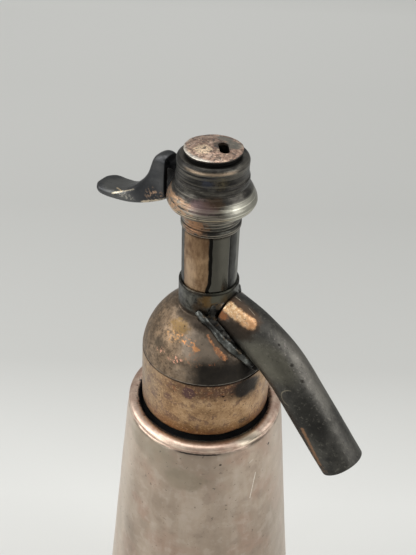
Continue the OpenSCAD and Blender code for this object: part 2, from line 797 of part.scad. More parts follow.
module top_cap() {
    crown_r = (pow(cap_r, 2) + pow(cap_crown, 2)) / (2 * cap_crown);
    half = asin(cap_r / crown_r);
    color([0.76, 0.62, 0.52])
    difference() {
        union() {
            rotate_extrude() polygon(concat(
                [[0, cap_z], [cap_r - 0.15, cap_z], [cap_r, cap_z + 0.2], [cap_r, cap_top_z - 0.2]],
                arc_points(0, cap_top_z + cap_crown - crown_r, crown_r, 90 - half, 90, 8)
            ));
            translate([0, 0, washer_z - cap_plug_h]) cylinder(r = bore_r - seated, h = cap_z - washer_z + cap_plug_h);
        }
        // oval hole for the key that screws the cap down
        translate([key_hole_off, 0.8, washer_z - cap_plug_h - cut]) rotate([0, 0, key_hole_turn]) {
            run = (key_hole_l - key_hole_w) / 2;
            translate([-run, -key_hole_w / 2, 0]) cube([2 * run, key_hole_w, 12]);
            for (s = [-1, 1]) translate([s * run, 0, 0]) cylinder(d = key_hole_w, h = 12, $fn = soft_fn);
        }
    }
}

// Stations along the lever's blade, from the tongue out to the tip of the thumb pad:
// [reach and height of the upper edge, reach and height of the lower edge, width].
// Reaches run from 0 at the tongue to 1 at the tip, heights from 0 at the pin to -1 at
// the pad's underside, and widths are shares of the pad's.
blade_stations = [
    [0.00,  0.00, 0.00, -0.13, 0.45],
    [0.13,  0.13, 0.06, -0.18, 0.60],
    [0.25,  0.05, 0.06, -0.35, 0.72],
    [0.33, -0.28, 0.08, -0.61, 0.78],
    [0.45, -0.53, 0.25, -0.80, 0.80],
    [0.61, -0.74, 0.49, -0.95, 0.88],
    [0.79, -0.82, 0.74, -1.00, 1.00],
    [0.93, -0.83, 0.92, -0.99, 0.98],
    [1.00, -0.85, 1.00, -0.92, 0.52],
];
blade_root_x = ring_r - 1.4;                      // where the blade starts on the tongue
blade_between = 3;                                // rings between two stations
blade_sides = 24;
blade_square = 0.62;                              // 1 would be an ellipse, less is squarer

function spline(a, b, c, d, t) =
    0.5 * (2 * b + (c - a) * t + (2 * a - 5 * b + 4 * c - d) * t * t + (3 * b - a - 3 * c + d) * t * t * t);

function blade_station(i) = blade_stations[max(0, min(len(blade_stations) - 1, i))];

function blade_at(u) =
    let (i = min(floor(u), len(blade_stations) - 2), t = u - i)
    spline(blade_station(i - 1), blade_station(i), blade_station(i + 1), blade_station(i + 2), t);

function round_power(v) = sign(v) * pow(abs(v), blade_square);

function blade_ring(u) =
    let (s = blade_at(u), run = lever_reach - blade_root_x,
         top = [blade_root_x + s[0] * run, pin_z + s[1] * lever_drop],
         low = [blade_root_x + s[2] * run, pin_z + s[3] * lever_drop])
    [for (k = [0:blade_sides - 1]) let (a = 360 * k / blade_sides,
        across = round_power(sin(a)) * s[4] * pad_w / 2, up = 0.5 + 0.5 * round_power(cos(a)))
        [-mix(low[0], top[0], up), across, mix(low[1], top[1], up)]];

module lever_blade() {
    rings = (len(blade_stations) - 1) * (blade_between + 1) + 1;
    polyhedron(
        points = [for (i = [0:rings - 1]) each blade_ring(i / (blade_between + 1))],
        faces = tube_faces(rings, blade_sides)
    );
}

boss_r = 2.2;                                     // round the lever's pin
finger_h = 2.2;                                   // height of the finger that ends in the nose
shank_below = 1.65;                               // the tongue's depth below the pin, outside the housing
shank_above = 1.45;

module tongue_outline() {
    half = finger_h / 2;
    translate([lever_arm, pin_z]) circle(r = boss_r, $fn = soft_fn);
    translate([0, nose_z]) circle(r = nose_r, $fn = soft_fn);
    polygon([[0, nose_z - half], [lever_arm, pin_z - half], [lever_arm, pin_z + half], [0, nose_z + half]]);
    translate([lever_arm, pin_z - shank_below])
        square([blade_root_x - lever_arm + 1.5, shank_below + shank_above]);
}

ring_room = 1.62;                                 // from the ring out to the blade's hollow inner face
ring_room_below = 17.5;

module lever() {
    color([0.22, 0.22, 0.22])
    difference() {
        union() {
            // the ring passes inside the blade when the lever is pressed
            difference() {
                lever_blade();
                translate([0, 0, pin_z - ring_room_below])
                    cylinder(r = ring_r + ring_room, h = ring_room_below - 0.9);
            }
            translate([0, tongue_w / 2, 0]) rotate([90, 0, 0]) linear_extrude(tongue_w)
                mirror([1, 0, 0]) tongue_outline();
        }
        across_head(-lever_arm, pin_z) cylinder(r = pin_r + running, h = through, center = true, $fn = soft_fn);
    }
}

jacket();
foot_ring();
base_plate();
base_screws();
base_cushion();
glass_bottle();
neck_cushion();
dip_tube();
collar_nut();
split_collar_left();
split_collar_right();
lip_gasket();
head_dome();
neck_barrel();
spout();
spout_saddle();
dip_tube_bush();
valve_seat();
valve_disc();
valve_holder();
spring_collar();
valve_spindle();
spindle_head();
valve_spring();
packing_washer();
spindle_packing();
gland_nut();
lever_housing();
lever_pin();
lever();
cap_washer();
top_cap();
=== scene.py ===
"""Soda siphon: its plated head, neck, spout, thumb lever and jacket, with their finishes and the studio."""

import math

import bpy
from bpy.props import FloatProperty, FloatVectorProperty, PointerProperty
from mathutils import Matrix, Vector


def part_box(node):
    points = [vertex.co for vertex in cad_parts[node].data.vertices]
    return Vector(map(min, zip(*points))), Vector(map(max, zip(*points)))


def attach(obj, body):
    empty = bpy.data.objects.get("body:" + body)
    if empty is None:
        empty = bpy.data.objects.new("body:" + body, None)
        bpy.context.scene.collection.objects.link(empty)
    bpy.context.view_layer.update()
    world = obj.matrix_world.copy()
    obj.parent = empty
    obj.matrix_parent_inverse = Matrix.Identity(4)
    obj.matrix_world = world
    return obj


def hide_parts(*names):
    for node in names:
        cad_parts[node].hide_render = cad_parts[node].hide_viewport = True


bl_info = {
    "name": "Soda Siphon",
    "version": (1, 0, 0),
    "blender": (4, 5, 0),
    "location": "View3D > Sidebar > Siphon",
    "description": "Models and finishes a plated soda siphon round its fixed frame",
    "category": "Object",
}

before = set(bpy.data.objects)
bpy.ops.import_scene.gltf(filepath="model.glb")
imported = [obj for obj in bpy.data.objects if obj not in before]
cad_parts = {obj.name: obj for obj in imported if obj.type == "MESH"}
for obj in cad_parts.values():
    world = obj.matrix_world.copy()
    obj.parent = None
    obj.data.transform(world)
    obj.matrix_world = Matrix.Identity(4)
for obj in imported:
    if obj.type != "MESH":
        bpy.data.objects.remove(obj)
bpy.context.view_layer.update()

MM = 0.001
MERGE = 0.001 * MM                # points nearer than this become one


# ---------- sizes read from the frame ----------

def low(node):
    """Height of a node's lowest point, in mm."""
    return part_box(node)[0].z / MM


def high(node):
    """Height of a node's highest point, in mm."""
    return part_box(node)[1].z / MM


def widest(node, from_z, to_z):
    """Largest radius, round the siphon's axis, of a node's points between two heights, in mm."""
    points = (v.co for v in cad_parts[node].data.vertices)
    return max(math.hypot(p.x, p.y) / MM for p in points if from_z <= p.z / MM <= to_z)


RIM_Z = high("jacket")            # top of the jacket's rolled rim
LEDGE_Z = low("jacket")           # where the jacket stands in the foot
BAND_Z = low("collar_nut")
SEAM_Z = high("collar_nut")       # where the dome meets the band
NECK_Z = high("head_dome")        # top of the collar round the neck
SOCKET_Z = low("lever_housing")
RING_Z = SOCKET_Z + 7.4           # where the housing's socket ends and its ring begins
HOUSING_TOP = high("lever_housing")
CAP_Z = high("cap_washer")
WEAR = 0.6                        # the band and the dome are rubbed slimmer than their solids
BAND_DROP = 1.2                   # the band's edge is bent down a little towards the rim
BAND_BOTTOM_R = widest("collar_nut", BAND_Z, BAND_Z + 3) - WEAR - 0.2
BAND_TOP_R = widest("collar_nut", SEAM_Z - 0.1, SEAM_Z) - WEAR
COLLAR_R = widest("head_dome", NECK_Z - 4, NECK_Z)
NECK_R = widest("neck_barrel", NECK_Z, SOCKET_Z)
SOCKET_R = widest("lever_housing", SOCKET_Z, SOCKET_Z + 1)
RING_R = widest("lever_housing", SOCKET_Z, HOUSING_TOP)
WAIST_R = widest("lever_housing", HOUSING_TOP - 4.3, HOUSING_TOP - 4.1)
CAP_R = widest("top_cap", CAP_Z, CAP_Z + 1)
RIM_HOLE_R = BAND_BOTTOM_R - 0.2  # the rolled rim reaches in to just under the band


# ---------- modelling steps ----------

def select_only(piece):
    """Selects one piece and makes it active."""
    bpy.ops.object.select_all(action="DESELECT")
    piece.select_set(True)
    bpy.context.view_layer.objects.active = piece


def start(primitive, name, **where):
    """Adds a primitive with nothing else selected, and names it."""
    bpy.ops.object.select_all(action="DESELECT")
    primitive(**where)
    piece = bpy.context.object
    piece.name = name
    piece.data.name = name
    return piece


def edit():
    """Goes into edit mode with everything selected."""
    bpy.ops.object.mode_set(mode="EDIT")
    bpy.ops.mesh.select_all(action="SELECT")


def leave_edit():
    """Goes back to object mode."""
    bpy.ops.object.mode_set(mode="OBJECT")


def close_up():
    """Joins the seams of the mesh that is edited and turns its faces outwards."""
    bpy.ops.mesh.select_all(action="SELECT")
    bpy.ops.mesh.remove_doubles(threshold=MERGE)
    bpy.ops.mesh.normals_make_consistent(inside=False)


def copy_of_node(name, node):
    """A copy of a CAD node, with its loose triangles joined."""
    piece = bpy.data.objects.new(name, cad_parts[node].data.copy())
    bpy.context.scene.collection.objects.link(piece)
    select_only(piece)
    edit()
    bpy.ops.mesh.remove_doubles(threshold=MERGE)
    leave_edit()
    return piece


def modifier(piece, kind, **settings):
    """Adds a modifier and applies it."""
    made = piece.modifiers.new(kind.title(), kind)
    for key, value in settings.items():
        setattr(made, key, value)
    select_only(piece)
    bpy.ops.object.modifier_apply(modifier=made.name)


def extrude_by(delta):
    """Extrudes what is selected by a step in mm."""
    bpy.ops.mesh.extrude_region_move(TRANSFORM_OT_translate={"value": Vector(delta) * MM})


def single_point(name, at):
    """A mesh of one vertex, left selected in edit mode."""
    piece = start(bpy.ops.mesh.primitive_plane_add, name, size=MM, location=(0, 0, 0))
    edit()
    bpy.ops.mesh.merge(type="CENTER")
    bpy.ops.transform.translate(value=Vector(at) * MM)
    return piece


def turn(name, outline, steps=128, closed=True):
    """Turns an outline of (radius, height) points in mm round the siphon's axis."""
    points = [(r, 0, z) for r, z in outline]
    if closed:
        points.append(points[0])
    piece = single_point(name, points[0])
    for a, b in zip(points, points[1:]):
        extrude_by((b[0] - a[0], 0, b[2] - a[2]))
    bpy.ops.mesh.select_all(action="SELECT")
    bpy.ops.mesh.spin(steps=steps, angle=math.tau, center=(0, 0, 0), axis=(0, 0, 1))
    close_up()
    leave_edit()
    return piece


def round_edges(piece, width, angle=28):
    """Bevels the edges that turn by more than an angle."""
    modifier(piece, "BEVEL", width=width * MM, segments=2, limit_method="ANGLE",
             angle_limit=math.radians(angle), harden_normals=False)


def refine(piece):
    """Subdivides a piece once, smoothly."""
    modifier(piece, "SUBSURF", levels=1, render_levels=1)


def soften(piece, voxel, rounds):
    """Remeshes a piece finely and melts its corners."""
    modifier(piece, "REMESH", mode="VOXEL", voxel_size=voxel * MM)
    modifier(piece, "SMOOTH", factor=0.5, iterations=rounds)


def weather(piece, size, depth):
    """Pushes the surface in and out a little, as years of handling do."""
    texture = bpy.data.textures.new(piece.name + "_wear", "CLOUDS")
    texture.noise_scale = size * MM
    texture.noise_depth = 2
    modifier(piece, "DISPLACE", texture=texture, texture_coords="GLOBAL", strength=depth * MM, mid_level=0.5)
    bpy.data.textures.remove(texture)


def shade(piece, angle=40):
    """Shades a piece smooth, except over edges that turn by more than an angle."""
    select_only(piece)
    bpy.ops.object.shade_smooth_by_angle(angle=math.radians(angle))


def arc(centre, radius, from_deg, to_deg, steps):
    """Points of an arc in the outline's plane."""
    angles = [math.radians(from_deg + (to_deg - from_deg) * i / steps) for i in range(steps + 1)]
    return [(centre[0] + radius * math.cos(a), centre[1] + radius * math.sin(a)) for a in angles]


def oval(centre, half_width, half_height, from_deg, to_deg, steps):
    """Points of a stretch of an oval in the outline's plane."""
    points = arc((0, 0), 1, from_deg, to_deg, steps)
    return [(centre[0] + half_width * x, centre[1] + half_height * z) for x, z in points]


def line(a, b, steps):
    """Points from a up to, but not including, b."""
    return [(a[0] + (b[0] - a[0]) * i / steps, a[1] + (b[1] - a[1]) * i / steps) for i in range(steps)]


def seat(piece, body, slot, material, *nodes):
    """Puts a finished piece on its body, in place of the CAD nodes that it stands for."""
    piece.data.materials.clear()
    piece.data.materials.append(material)
    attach(piece, body)
    if nodes:
        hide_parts(*nodes)


# ---------- colours and node materials ----------

def srgb(r, g, b):
    """A colour given as it looks on screen, 0 to 255, as linear light."""
    shades = [c / 255 for c in (r, g, b)]
    return tuple(((s + 0.055) / 1.055) ** 2.4 if s > 0.04045 else s / 12.92 for s in shades) + (1.0,)


def paint(value):
    """What a colour socket takes for (r, g, b) as seen on screen, or for a shade from 0 to 1."""
    if isinstance(value, tuple) and len(value) == 3:
        return srgb(*value)
    if isinstance(value, (int, float)):
        return (value, value, value, 1.0)
    return value


class Finish:
    """Builds a node material whose places and sizes are in mm on Object coordinates.

    A share is how much of something lies at a place, from 0 to 1.
    """

    def __init__(self, name):
        self.material = bpy.data.materials.new(name)
        self.material.use_nodes = True
        self.tree = self.material.node_tree
        self.tree.nodes.clear()
        self.shader = self.add("BsdfPrincipled")
        self.add("OutputMaterial", Surface=self.shader.outputs[0])
        self.place = self.vector("SCALE", self.add("TexCoord").outputs["Object"], scale=1 / MM)
        self.x, self.y, self.z = self.add("SeparateXYZ", Vector=self.place).outputs
        self.around = self.math("MULTIPLY", self.math("ARCTAN2", self.y, self.x), 180 / math.pi)
        self.noises = {}

    def feed(self, socket, value):
        """Links a socket to another, or gives it a plain value."""
        if isinstance(value, bpy.types.NodeSocket):
            self.tree.links.new(value, socket)
        elif value is not None:
            socket.default_value = value

    def add(self, kind, **inputs):
        """Adds a node and feeds the inputs that are named, with _ for a space."""
        node = self.tree.nodes.new("ShaderNode" + kind)
        for name, value in inputs.items():
            self.feed(node.inputs[name.replace("_", " ")], value)
        return node

    def math(self, operation, a, b=None, clamp=False):
        """One sum on one or two numbers."""
        node = self.add("Math")
        node.operation = operation
        node.use_clamp = clamp
        self.feed(node.inputs[0], a)
        self.feed(node.inputs[1], b)
        return node.outputs[0]

    def times(self, *shares):
        """The shares multiplied: where they all are."""
        product = shares[0]
        for share in shares[1:]:
            product = self.math("MULTIPLY", product, share)
        return product

    def either(self, *shares):
        """The largest of the shares: where any of them is."""
        most = shares[0]
        for share in shares[1:]:
            most = self.math("MAXIMUM", most, share)
        return most

    def outside(self, share):
        """1 where a share is 0, and 0 where it is 1."""
        return self.math("SUBTRACT", 1, share)

    def vector(self, operation, a, b=None, scale=None):
        """One sum on one or two vectors."""
        node = self.add("VectorMath")
        node.operation = operation
        self.feed(node.inputs[0], a)
        self.feed(node.inputs[1], b)
        if scale is not None:
            self.feed(node.inputs["Scale"], scale)
        return node.outputs["Value"] if operation in ("LENGTH", "DOT_PRODUCT") else node.outputs["Vector"]

    def noise(self, size, detail=4.0, rough=0.55, stretch=(1, 1, 1), shift=0.0):
        """Noise with features of a size in mm, longer along an axis with a larger stretch."""
        key = (size, detail, rough, stretch, shift)
        if key not in self.noises:
            stretched = self.vector("DIVIDE", self.place, stretch)
            where = self.vector("ADD", stretched, (shift, 2 * shift, -shift))
            node = self.add("TexNoise", Vector=where, Scale=1 / size, Detail=detail, Roughness=rough)
            self.noises[key] = node.outputs["Fac"]
        return self.noises[key]

    def ramp(self, value, stops):
        """Colours or shades by value, from stops of (position, colour or shade)."""
        node = self.add("ValToRGB", Fac=value)
        elements = node.color_ramp.elements
        while len(elements) < len(stops):
            elements.new(0.5)
        for element, (position, colour) in zip(elements, stops):
            element.position = position
            element.color = paint(colour)
        return node.outputs["Color"]

    def mix(self, share, under, over):
        """Lays a share of one colour or shade over another."""
        node = self.add("Mix")
        node.data_type = "RGBA"
        self.feed(node.inputs[0], share)
        self.feed(node.inputs[6], paint(under))
        self.feed(node.inputs[7], paint(over))
        return node.outputs[2]

    def coat(self, under, *layers):
        """Lays layers of (colour or shade, share, ...) on each other; a layer's shares are multiplied."""
        for colour, *shares in layers:
            under = self.mix(self.times(*shares), under, colour)
        return under

    def between(self, value, at_0, at_1):
        """0 where value is at_0, 1 where it is at_1, smooth in between."""
        node = self.add("MapRange", Value=value, From_Min=at_0, From_Max=at_1)
        node.interpolation_type = "SMOOTHSTEP"
        return node.outputs["Result"]

    def ragged(self, value, reach, size, shift=0.0):
        """A value that wanders up and down by about a reach, to make an edge ragged."""
        if not reach:
            return value
        wander = self.math("SUBTRACT", self.noise(size, 5, 0.62, shift=shift), 0.5)
        return self.math("ADD", value, self.times(wander, 3 * reach))

    def heights(self, bottom, top, soft=0.3, ragged=0.0, size=4.0):
        """1 between two heights, 0 outside."""
        z = self.ragged(self.z, ragged, size)
        return self.times(self.between(z, bottom - soft, bottom + soft),
                          self.between(z, top + soft, top - soft))

    def sector(self, start_deg, end_deg, soft=3.0, ragged=0.0, size=4.0):
        """1 between two angles round the siphon's axis, 0 outside."""
        angle = self.ragged(self.around, ragged, size)
        return self.times(self.between(angle, start_deg - soft, start_deg + soft),
                          self.between(angle, end_deg + soft, end_deg - soft))

    def patch(self, centre, reach, ragged=0.3, size=3.0, soft=0.2, shift=0.0):
        """1 in a ragged spot round a centre, with its reach along X, Y and Z in mm."""
        offset = self.vector("DIVIDE", self.vector("SUBTRACT", self.place, centre), reach)
        distance = self.ragged(self.vector("LENGTH", offset), ragged, size, shift)
        return self.between(distance, 1 + soft, 1 - soft)

    def streak(self, a, b, width, ragged=0.0, size=1.0, soft=0.3, shift=0.0):
        """1 along the straight line from a to b, out to half of the width."""
        run = Vector(b) - Vector(a)
        offset = self.vector("SUBTRACT", self.place, a)
        along = self.vector("DOT_PRODUCT", offset, tuple(run / run.length_squared))
        along = self.math("ADD", along, 0, clamp=True)
        beside = self.vector("SUBTRACT", offset, self.vector("SCALE", tuple(run), scale=along))
        distance = self.ragged(self.vector("LENGTH", beside), ragged, size, shift)
        return self.between(distance, width / 2 * (1 + soft), width / 2 * (1 - soft))

    def specks(self, size, share, shift=0.0, soft=0.03):
        """1 in scattered specks that cover about a share of the surface."""
        level = 0.5 + 0.22 * (1 - 2 * share)
        return self.between(self.noise(size, 2, 0.5, shift=shift), level - soft, level + soft)

    def lathe_lines(self, size, level=0.56, soft=0.06, shift=0.0):
        """1 on the fine lines that a lathe leaves round the siphon's axis."""
        lines = self.noise(size, 3, 0.6, stretch=(60, 60, 1), shift=shift)
        return self.between(lines, level - soft, level + soft)

    def cells(self, per_mm):
        """Distance from the middle of the nearest cell of a grain with so many cells a mm."""
        return self.add("TexVoronoi", Vector=self.place, Scale=per_mm).outputs["Distance"]

    def bump(self, height, depth):
        """Makes a height, 0 to 1, stand out by a depth in mm."""
        node = self.add("Bump", Strength=1.0, Distance=depth * MM, Height=height)
        normal = self.shader.inputs["Normal"]
        if normal.links:
            self.feed(node.inputs["Normal"], normal.links[0].from_socket)
        self.feed(normal, node.outputs[0])

    def solid(self, colour, roughness):
        """Finishes the material as something other than metal."""
        self.feed(self.shader.inputs["Base Color"], colour)
        self.feed(self.shader.inputs["Roughness"], roughness)
        return self.material

    def metal(self, colour, roughness):
        """Finishes the material as metal."""
        self.shader.inputs["Metallic"].default_value = 1.0
        return self.solid(colour, roughness)


# ---------- finishes ----------

def silver_plate():
    """Satin silver with a warm tarnish and a polished rim; painted highlights on its sides and the rim, a
    painted dark reflection under the rim, and painted shade on the lip inside it.
    """
    f = Finish("silver_plate")
    cloud = f.noise(20, 4, 0.5, stretch=(1, 1, 1.7))
    rubbed = f.noise(6, 4, 0.55, stretch=(1, 1, 4), shift=4)
    blush = f.between(f.noise(13, 3, 0.5, shift=9), 0.45, 0.65)
    blotch = f.noise(5, 5, 0.6, shift=12)
    silver = tuple(bpy.context.scene.siphon_jacket.silver)
    body = f.ramp(cloud, [(0.34, (154, 138, 123)), (0.66, silver)])
    body = f.coat(
        body,
        ((172, 146, 130), blush, 0.65),
        ((204, 194, 182), f.between(rubbed, 0.5, 0.68), 0.22),
        ((142, 130, 118), f.between(rubbed, 0.5, 0.34), 0.2),
        ((200, 186, 174), f.between(blotch, 0.52, 0.66), 0.3),
        ((142, 126, 114), f.between(blotch, 0.48, 0.34), 0.35),
        # painted highlights: lighter bands down the jacket's two sides
        ((226, 213, 198), f.sector(-150, -114, 9, 3, 9), 0.5),
        ((216, 204, 190), f.sector(0, 40, 9, 3, 9), 0.32),
        # the next two layers are a painted dark reflection of the rim, on the front just under it
        ((144, 136, 120), f.patch((-5, -30, 208), (11, 9, 5.5), 0.5, 6, 0.6), 0.6),
        ((148, 140, 124), f.patch((3, -30, 205), (9, 9, 8), 0.5, 6, 0.6), 0.3),
        ((140, 130, 112), f.patch((12, -28, 198), (8, 8, 5), 0.3, 6, shift=3), 0.45),
        ((96, 88, 80), f.specks(1.5, 0.03, 2), 0.6),
        ((226, 218, 208), f.streak((30.1, -7.9, 196.5), (30.4, -11, 184.9), 0.35, 0.12, 1.5)),
        ((214, 204, 192), f.streak((26.5, -14.5, 201), (29.4, -8.6, 204), 0.4, 0.15, 1), 0.7),
        ((128, 110, 100), f.streak((17.5, -25, 202.4), (23, -20, 202), 0.5, 0.15, 1), 0.6),
        ((96, 84, 76), f.patch((22.3, -20.4, 206.4), (0.5, 0.5, 0.5), 0.1, 1)),
        ((90, 80, 74), f.patch((30.2, -0.3, 205.8), (0.6, 0.6, 0.6), 0.1, 1)),
        ((226, 220, 212), f.patch((-12, -26, 203), (0.9, 0.9, 1.6), 0.3, 1)),
    )
    inward = f.math("SQRT", f.math("ADD", f.times(f.x, f.x), f.times(f.y, f.y)))
    groove_z = RIM_Z - bpy.context.scene.siphon_jacket.bead / MM
    rim = f.between(f.ragged(f.z, 0.12, 1.5), groove_z - 0.1, groove_z + 0.3)
    rose = f.ramp(f.noise(3, 5, 0.6), [(0.35, (182, 152, 136)), (0.65, (216, 194, 176))])
    # painted shade: the rim's inner lip near black in the gap under the band, wider at two places round it,
    # with brown tarnish flecks at the front
    reach = f.ragged(inward, 0.4, 1.8, 5)
    reach = f.math("SUBTRACT", reach, f.times(f.sector(-172, -104, 14), 1.2))
    reach = f.math("SUBTRACT", reach, f.times(f.sector(-16, 30, 8), 0.5))
    painted_lip_shade = f.times(f.between(reach, RIM_HOLE_R + 1.1, RIM_HOLE_R + 0.2),
                        f.between(f.z, groove_z - 2, groove_z))
    dots = f.times(f.specks(0.9, 0.3, 6), f.between(reach, RIM_HOLE_R + 2.2, RIM_HOLE_R + 1.0))
    brown = f.between(f.noise(1.5, 4, 0.6, shift=11), 0.46, 0.56)
    lip_shade_colour = f.coat((32, 33, 39), ((126, 102, 84), brown, f.sector(-100, -20, 10), 0.8))
    hairline = f.times(f.between(f.noise(5, 2), 0.44, 0.62), 0.3)
    open_crack = f.coat(hairline, (0.95, f.sector(-74, -44, 5, 4, 3)))
    crack = f.times(f.heights(groove_z - 0.35, groove_z + 0.12, 0.12, 0.09, 1.2), open_crack)
    # painted highlights on the rim's bead, at the right and at the front
    painted_rim_highlight = f.either(f.patch((27, -9.4, 214), (3.2, 5, 2), 0.4, 2, 0.4),
                     f.times(f.patch((4, -28.4, 213.6), (7, 2.2, 1.3), 0.3, 2, 0.4), 0.25))
    colour = f.coat(
        body,
        (rose, rim),
        ((255, 240, 216), rim, painted_rim_highlight, 0.8),
        ((66, 64, 68), dots, rim, 0.8),
        (lip_shade_colour, painted_lip_shade),
        ((52, 48, 46), crack),
    )
    satin = f.ramp(f.noise(8, 5, 0.6), [(0.35, 0.46), (0.65, 0.36)])
    roughness = f.coat(satin, (0.38, rim), (0.5, painted_lip_shade))
    f.bump(f.noise(9, 3), 0.16)
    f.bump(f.noise(0.7, 3), 0.008)
    f.bump(f.outside(crack), 0.15)
    return f.metal(colour, roughness)


def worn_gilt():
    """Tan gilt with purple-brown mottling, a black-brown stain and small pits."""
    f = Finish("worn_gilt")
    cloud = f.noise(7, 5, 0.6)
    gilt = tuple(bpy.context.scene.siphon_head.gilt)
    colour = f.ramp(cloud, [(0.32, (138, 108, 80)), (0.5, gilt), (0.68, (190, 160, 126))])
    mottle = f.between(f.noise(3.2, 6, 0.68, shift=7), 0.53, 0.62)
    grain = f.noise(0.8, 4, 0.6)
    pits = f.either(f.patch((16.6, -18.2, 231.6), (0.55, 0.55, 0.4), 0.1, 0.5),
                    f.patch((18.9, -15.5, 234.7), (0.9, 0.9, 0.35), 0.15, 0.5),
                    f.specks(0.9, 0.012, 21, 0.015))
    upper = f.times(f.heights(233.4, 242, 2.4, 2.4, 3.2), f.sector(-84, -18, 12, 12, 4))
    colour = f.coat(
        colour,
        ((120, 86, 50), f.between(f.ragged(f.z, 1.2, 3), 223.5, 218.6), 0.7),
        ((142, 121, 97), f.sector(-150, -96, 12, 5, 6), 0.65),
        ((88, 64, 52), upper, 0.85),
        ((150, 104, 76), upper, f.between(f.noise(1.6, 4, 0.6, shift=2), 0.53, 0.62), 0.6),
        ((104, 80, 74), mottle, 0.6),
        ((108, 82, 72), f.patch((0.5, -24.6, 231), (2.2, 2.2, 1.6), 0.35, 2), 0.7),
        ((112, 88, 76), f.patch((-6.6, -23.9, 228), (2.4, 2.4, 2), 0.35, 2, shift=3), 0.6),
        ((104, 78, 66), f.patch((3, -24.7, 222), (3.4, 3.4, 1.6), 0.4, 2, shift=5), 0.6),
        ((92, 68, 70), f.patch((8.7, -22.8, 236), (2.4, 2.4, 2.6), 0.4, 2, shift=8), 0.8),
        ((82, 66, 58), f.patch((23.4, -8.7, 220), (1.6, 2.6, 1.2), 0.4, 2, shift=5), 0.7),
        ((212, 178, 136), f.between(grain, 0.54, 0.64), 0.35),
        ((92, 70, 56), f.between(grain, 0.44, 0.36), 0.4),
        ((36, 32, 29), f.patch((22.4, -7.2, 235.8), (3.6, 7.2, 5), 0.3, 2.5, 0.4), 0.97),
        ((26, 22, 20), pits),
        ((40, 36, 33), f.between(f.z, SEAM_Z - 0.55, SEAM_Z - 0.25), 0.85),
    )
    roughness = f.ramp(f.noise(4, 5, 0.6, shift=4), [(0.35, 0.5), (0.65, 0.32)])
    f.bump(f.noise(2.4, 4, 0.6, shift=11), 0.09)
    f.bump(grain, 0.02)
    f.bump(f.outside(pits), 0.12)
    return f.metal(colour, roughness)


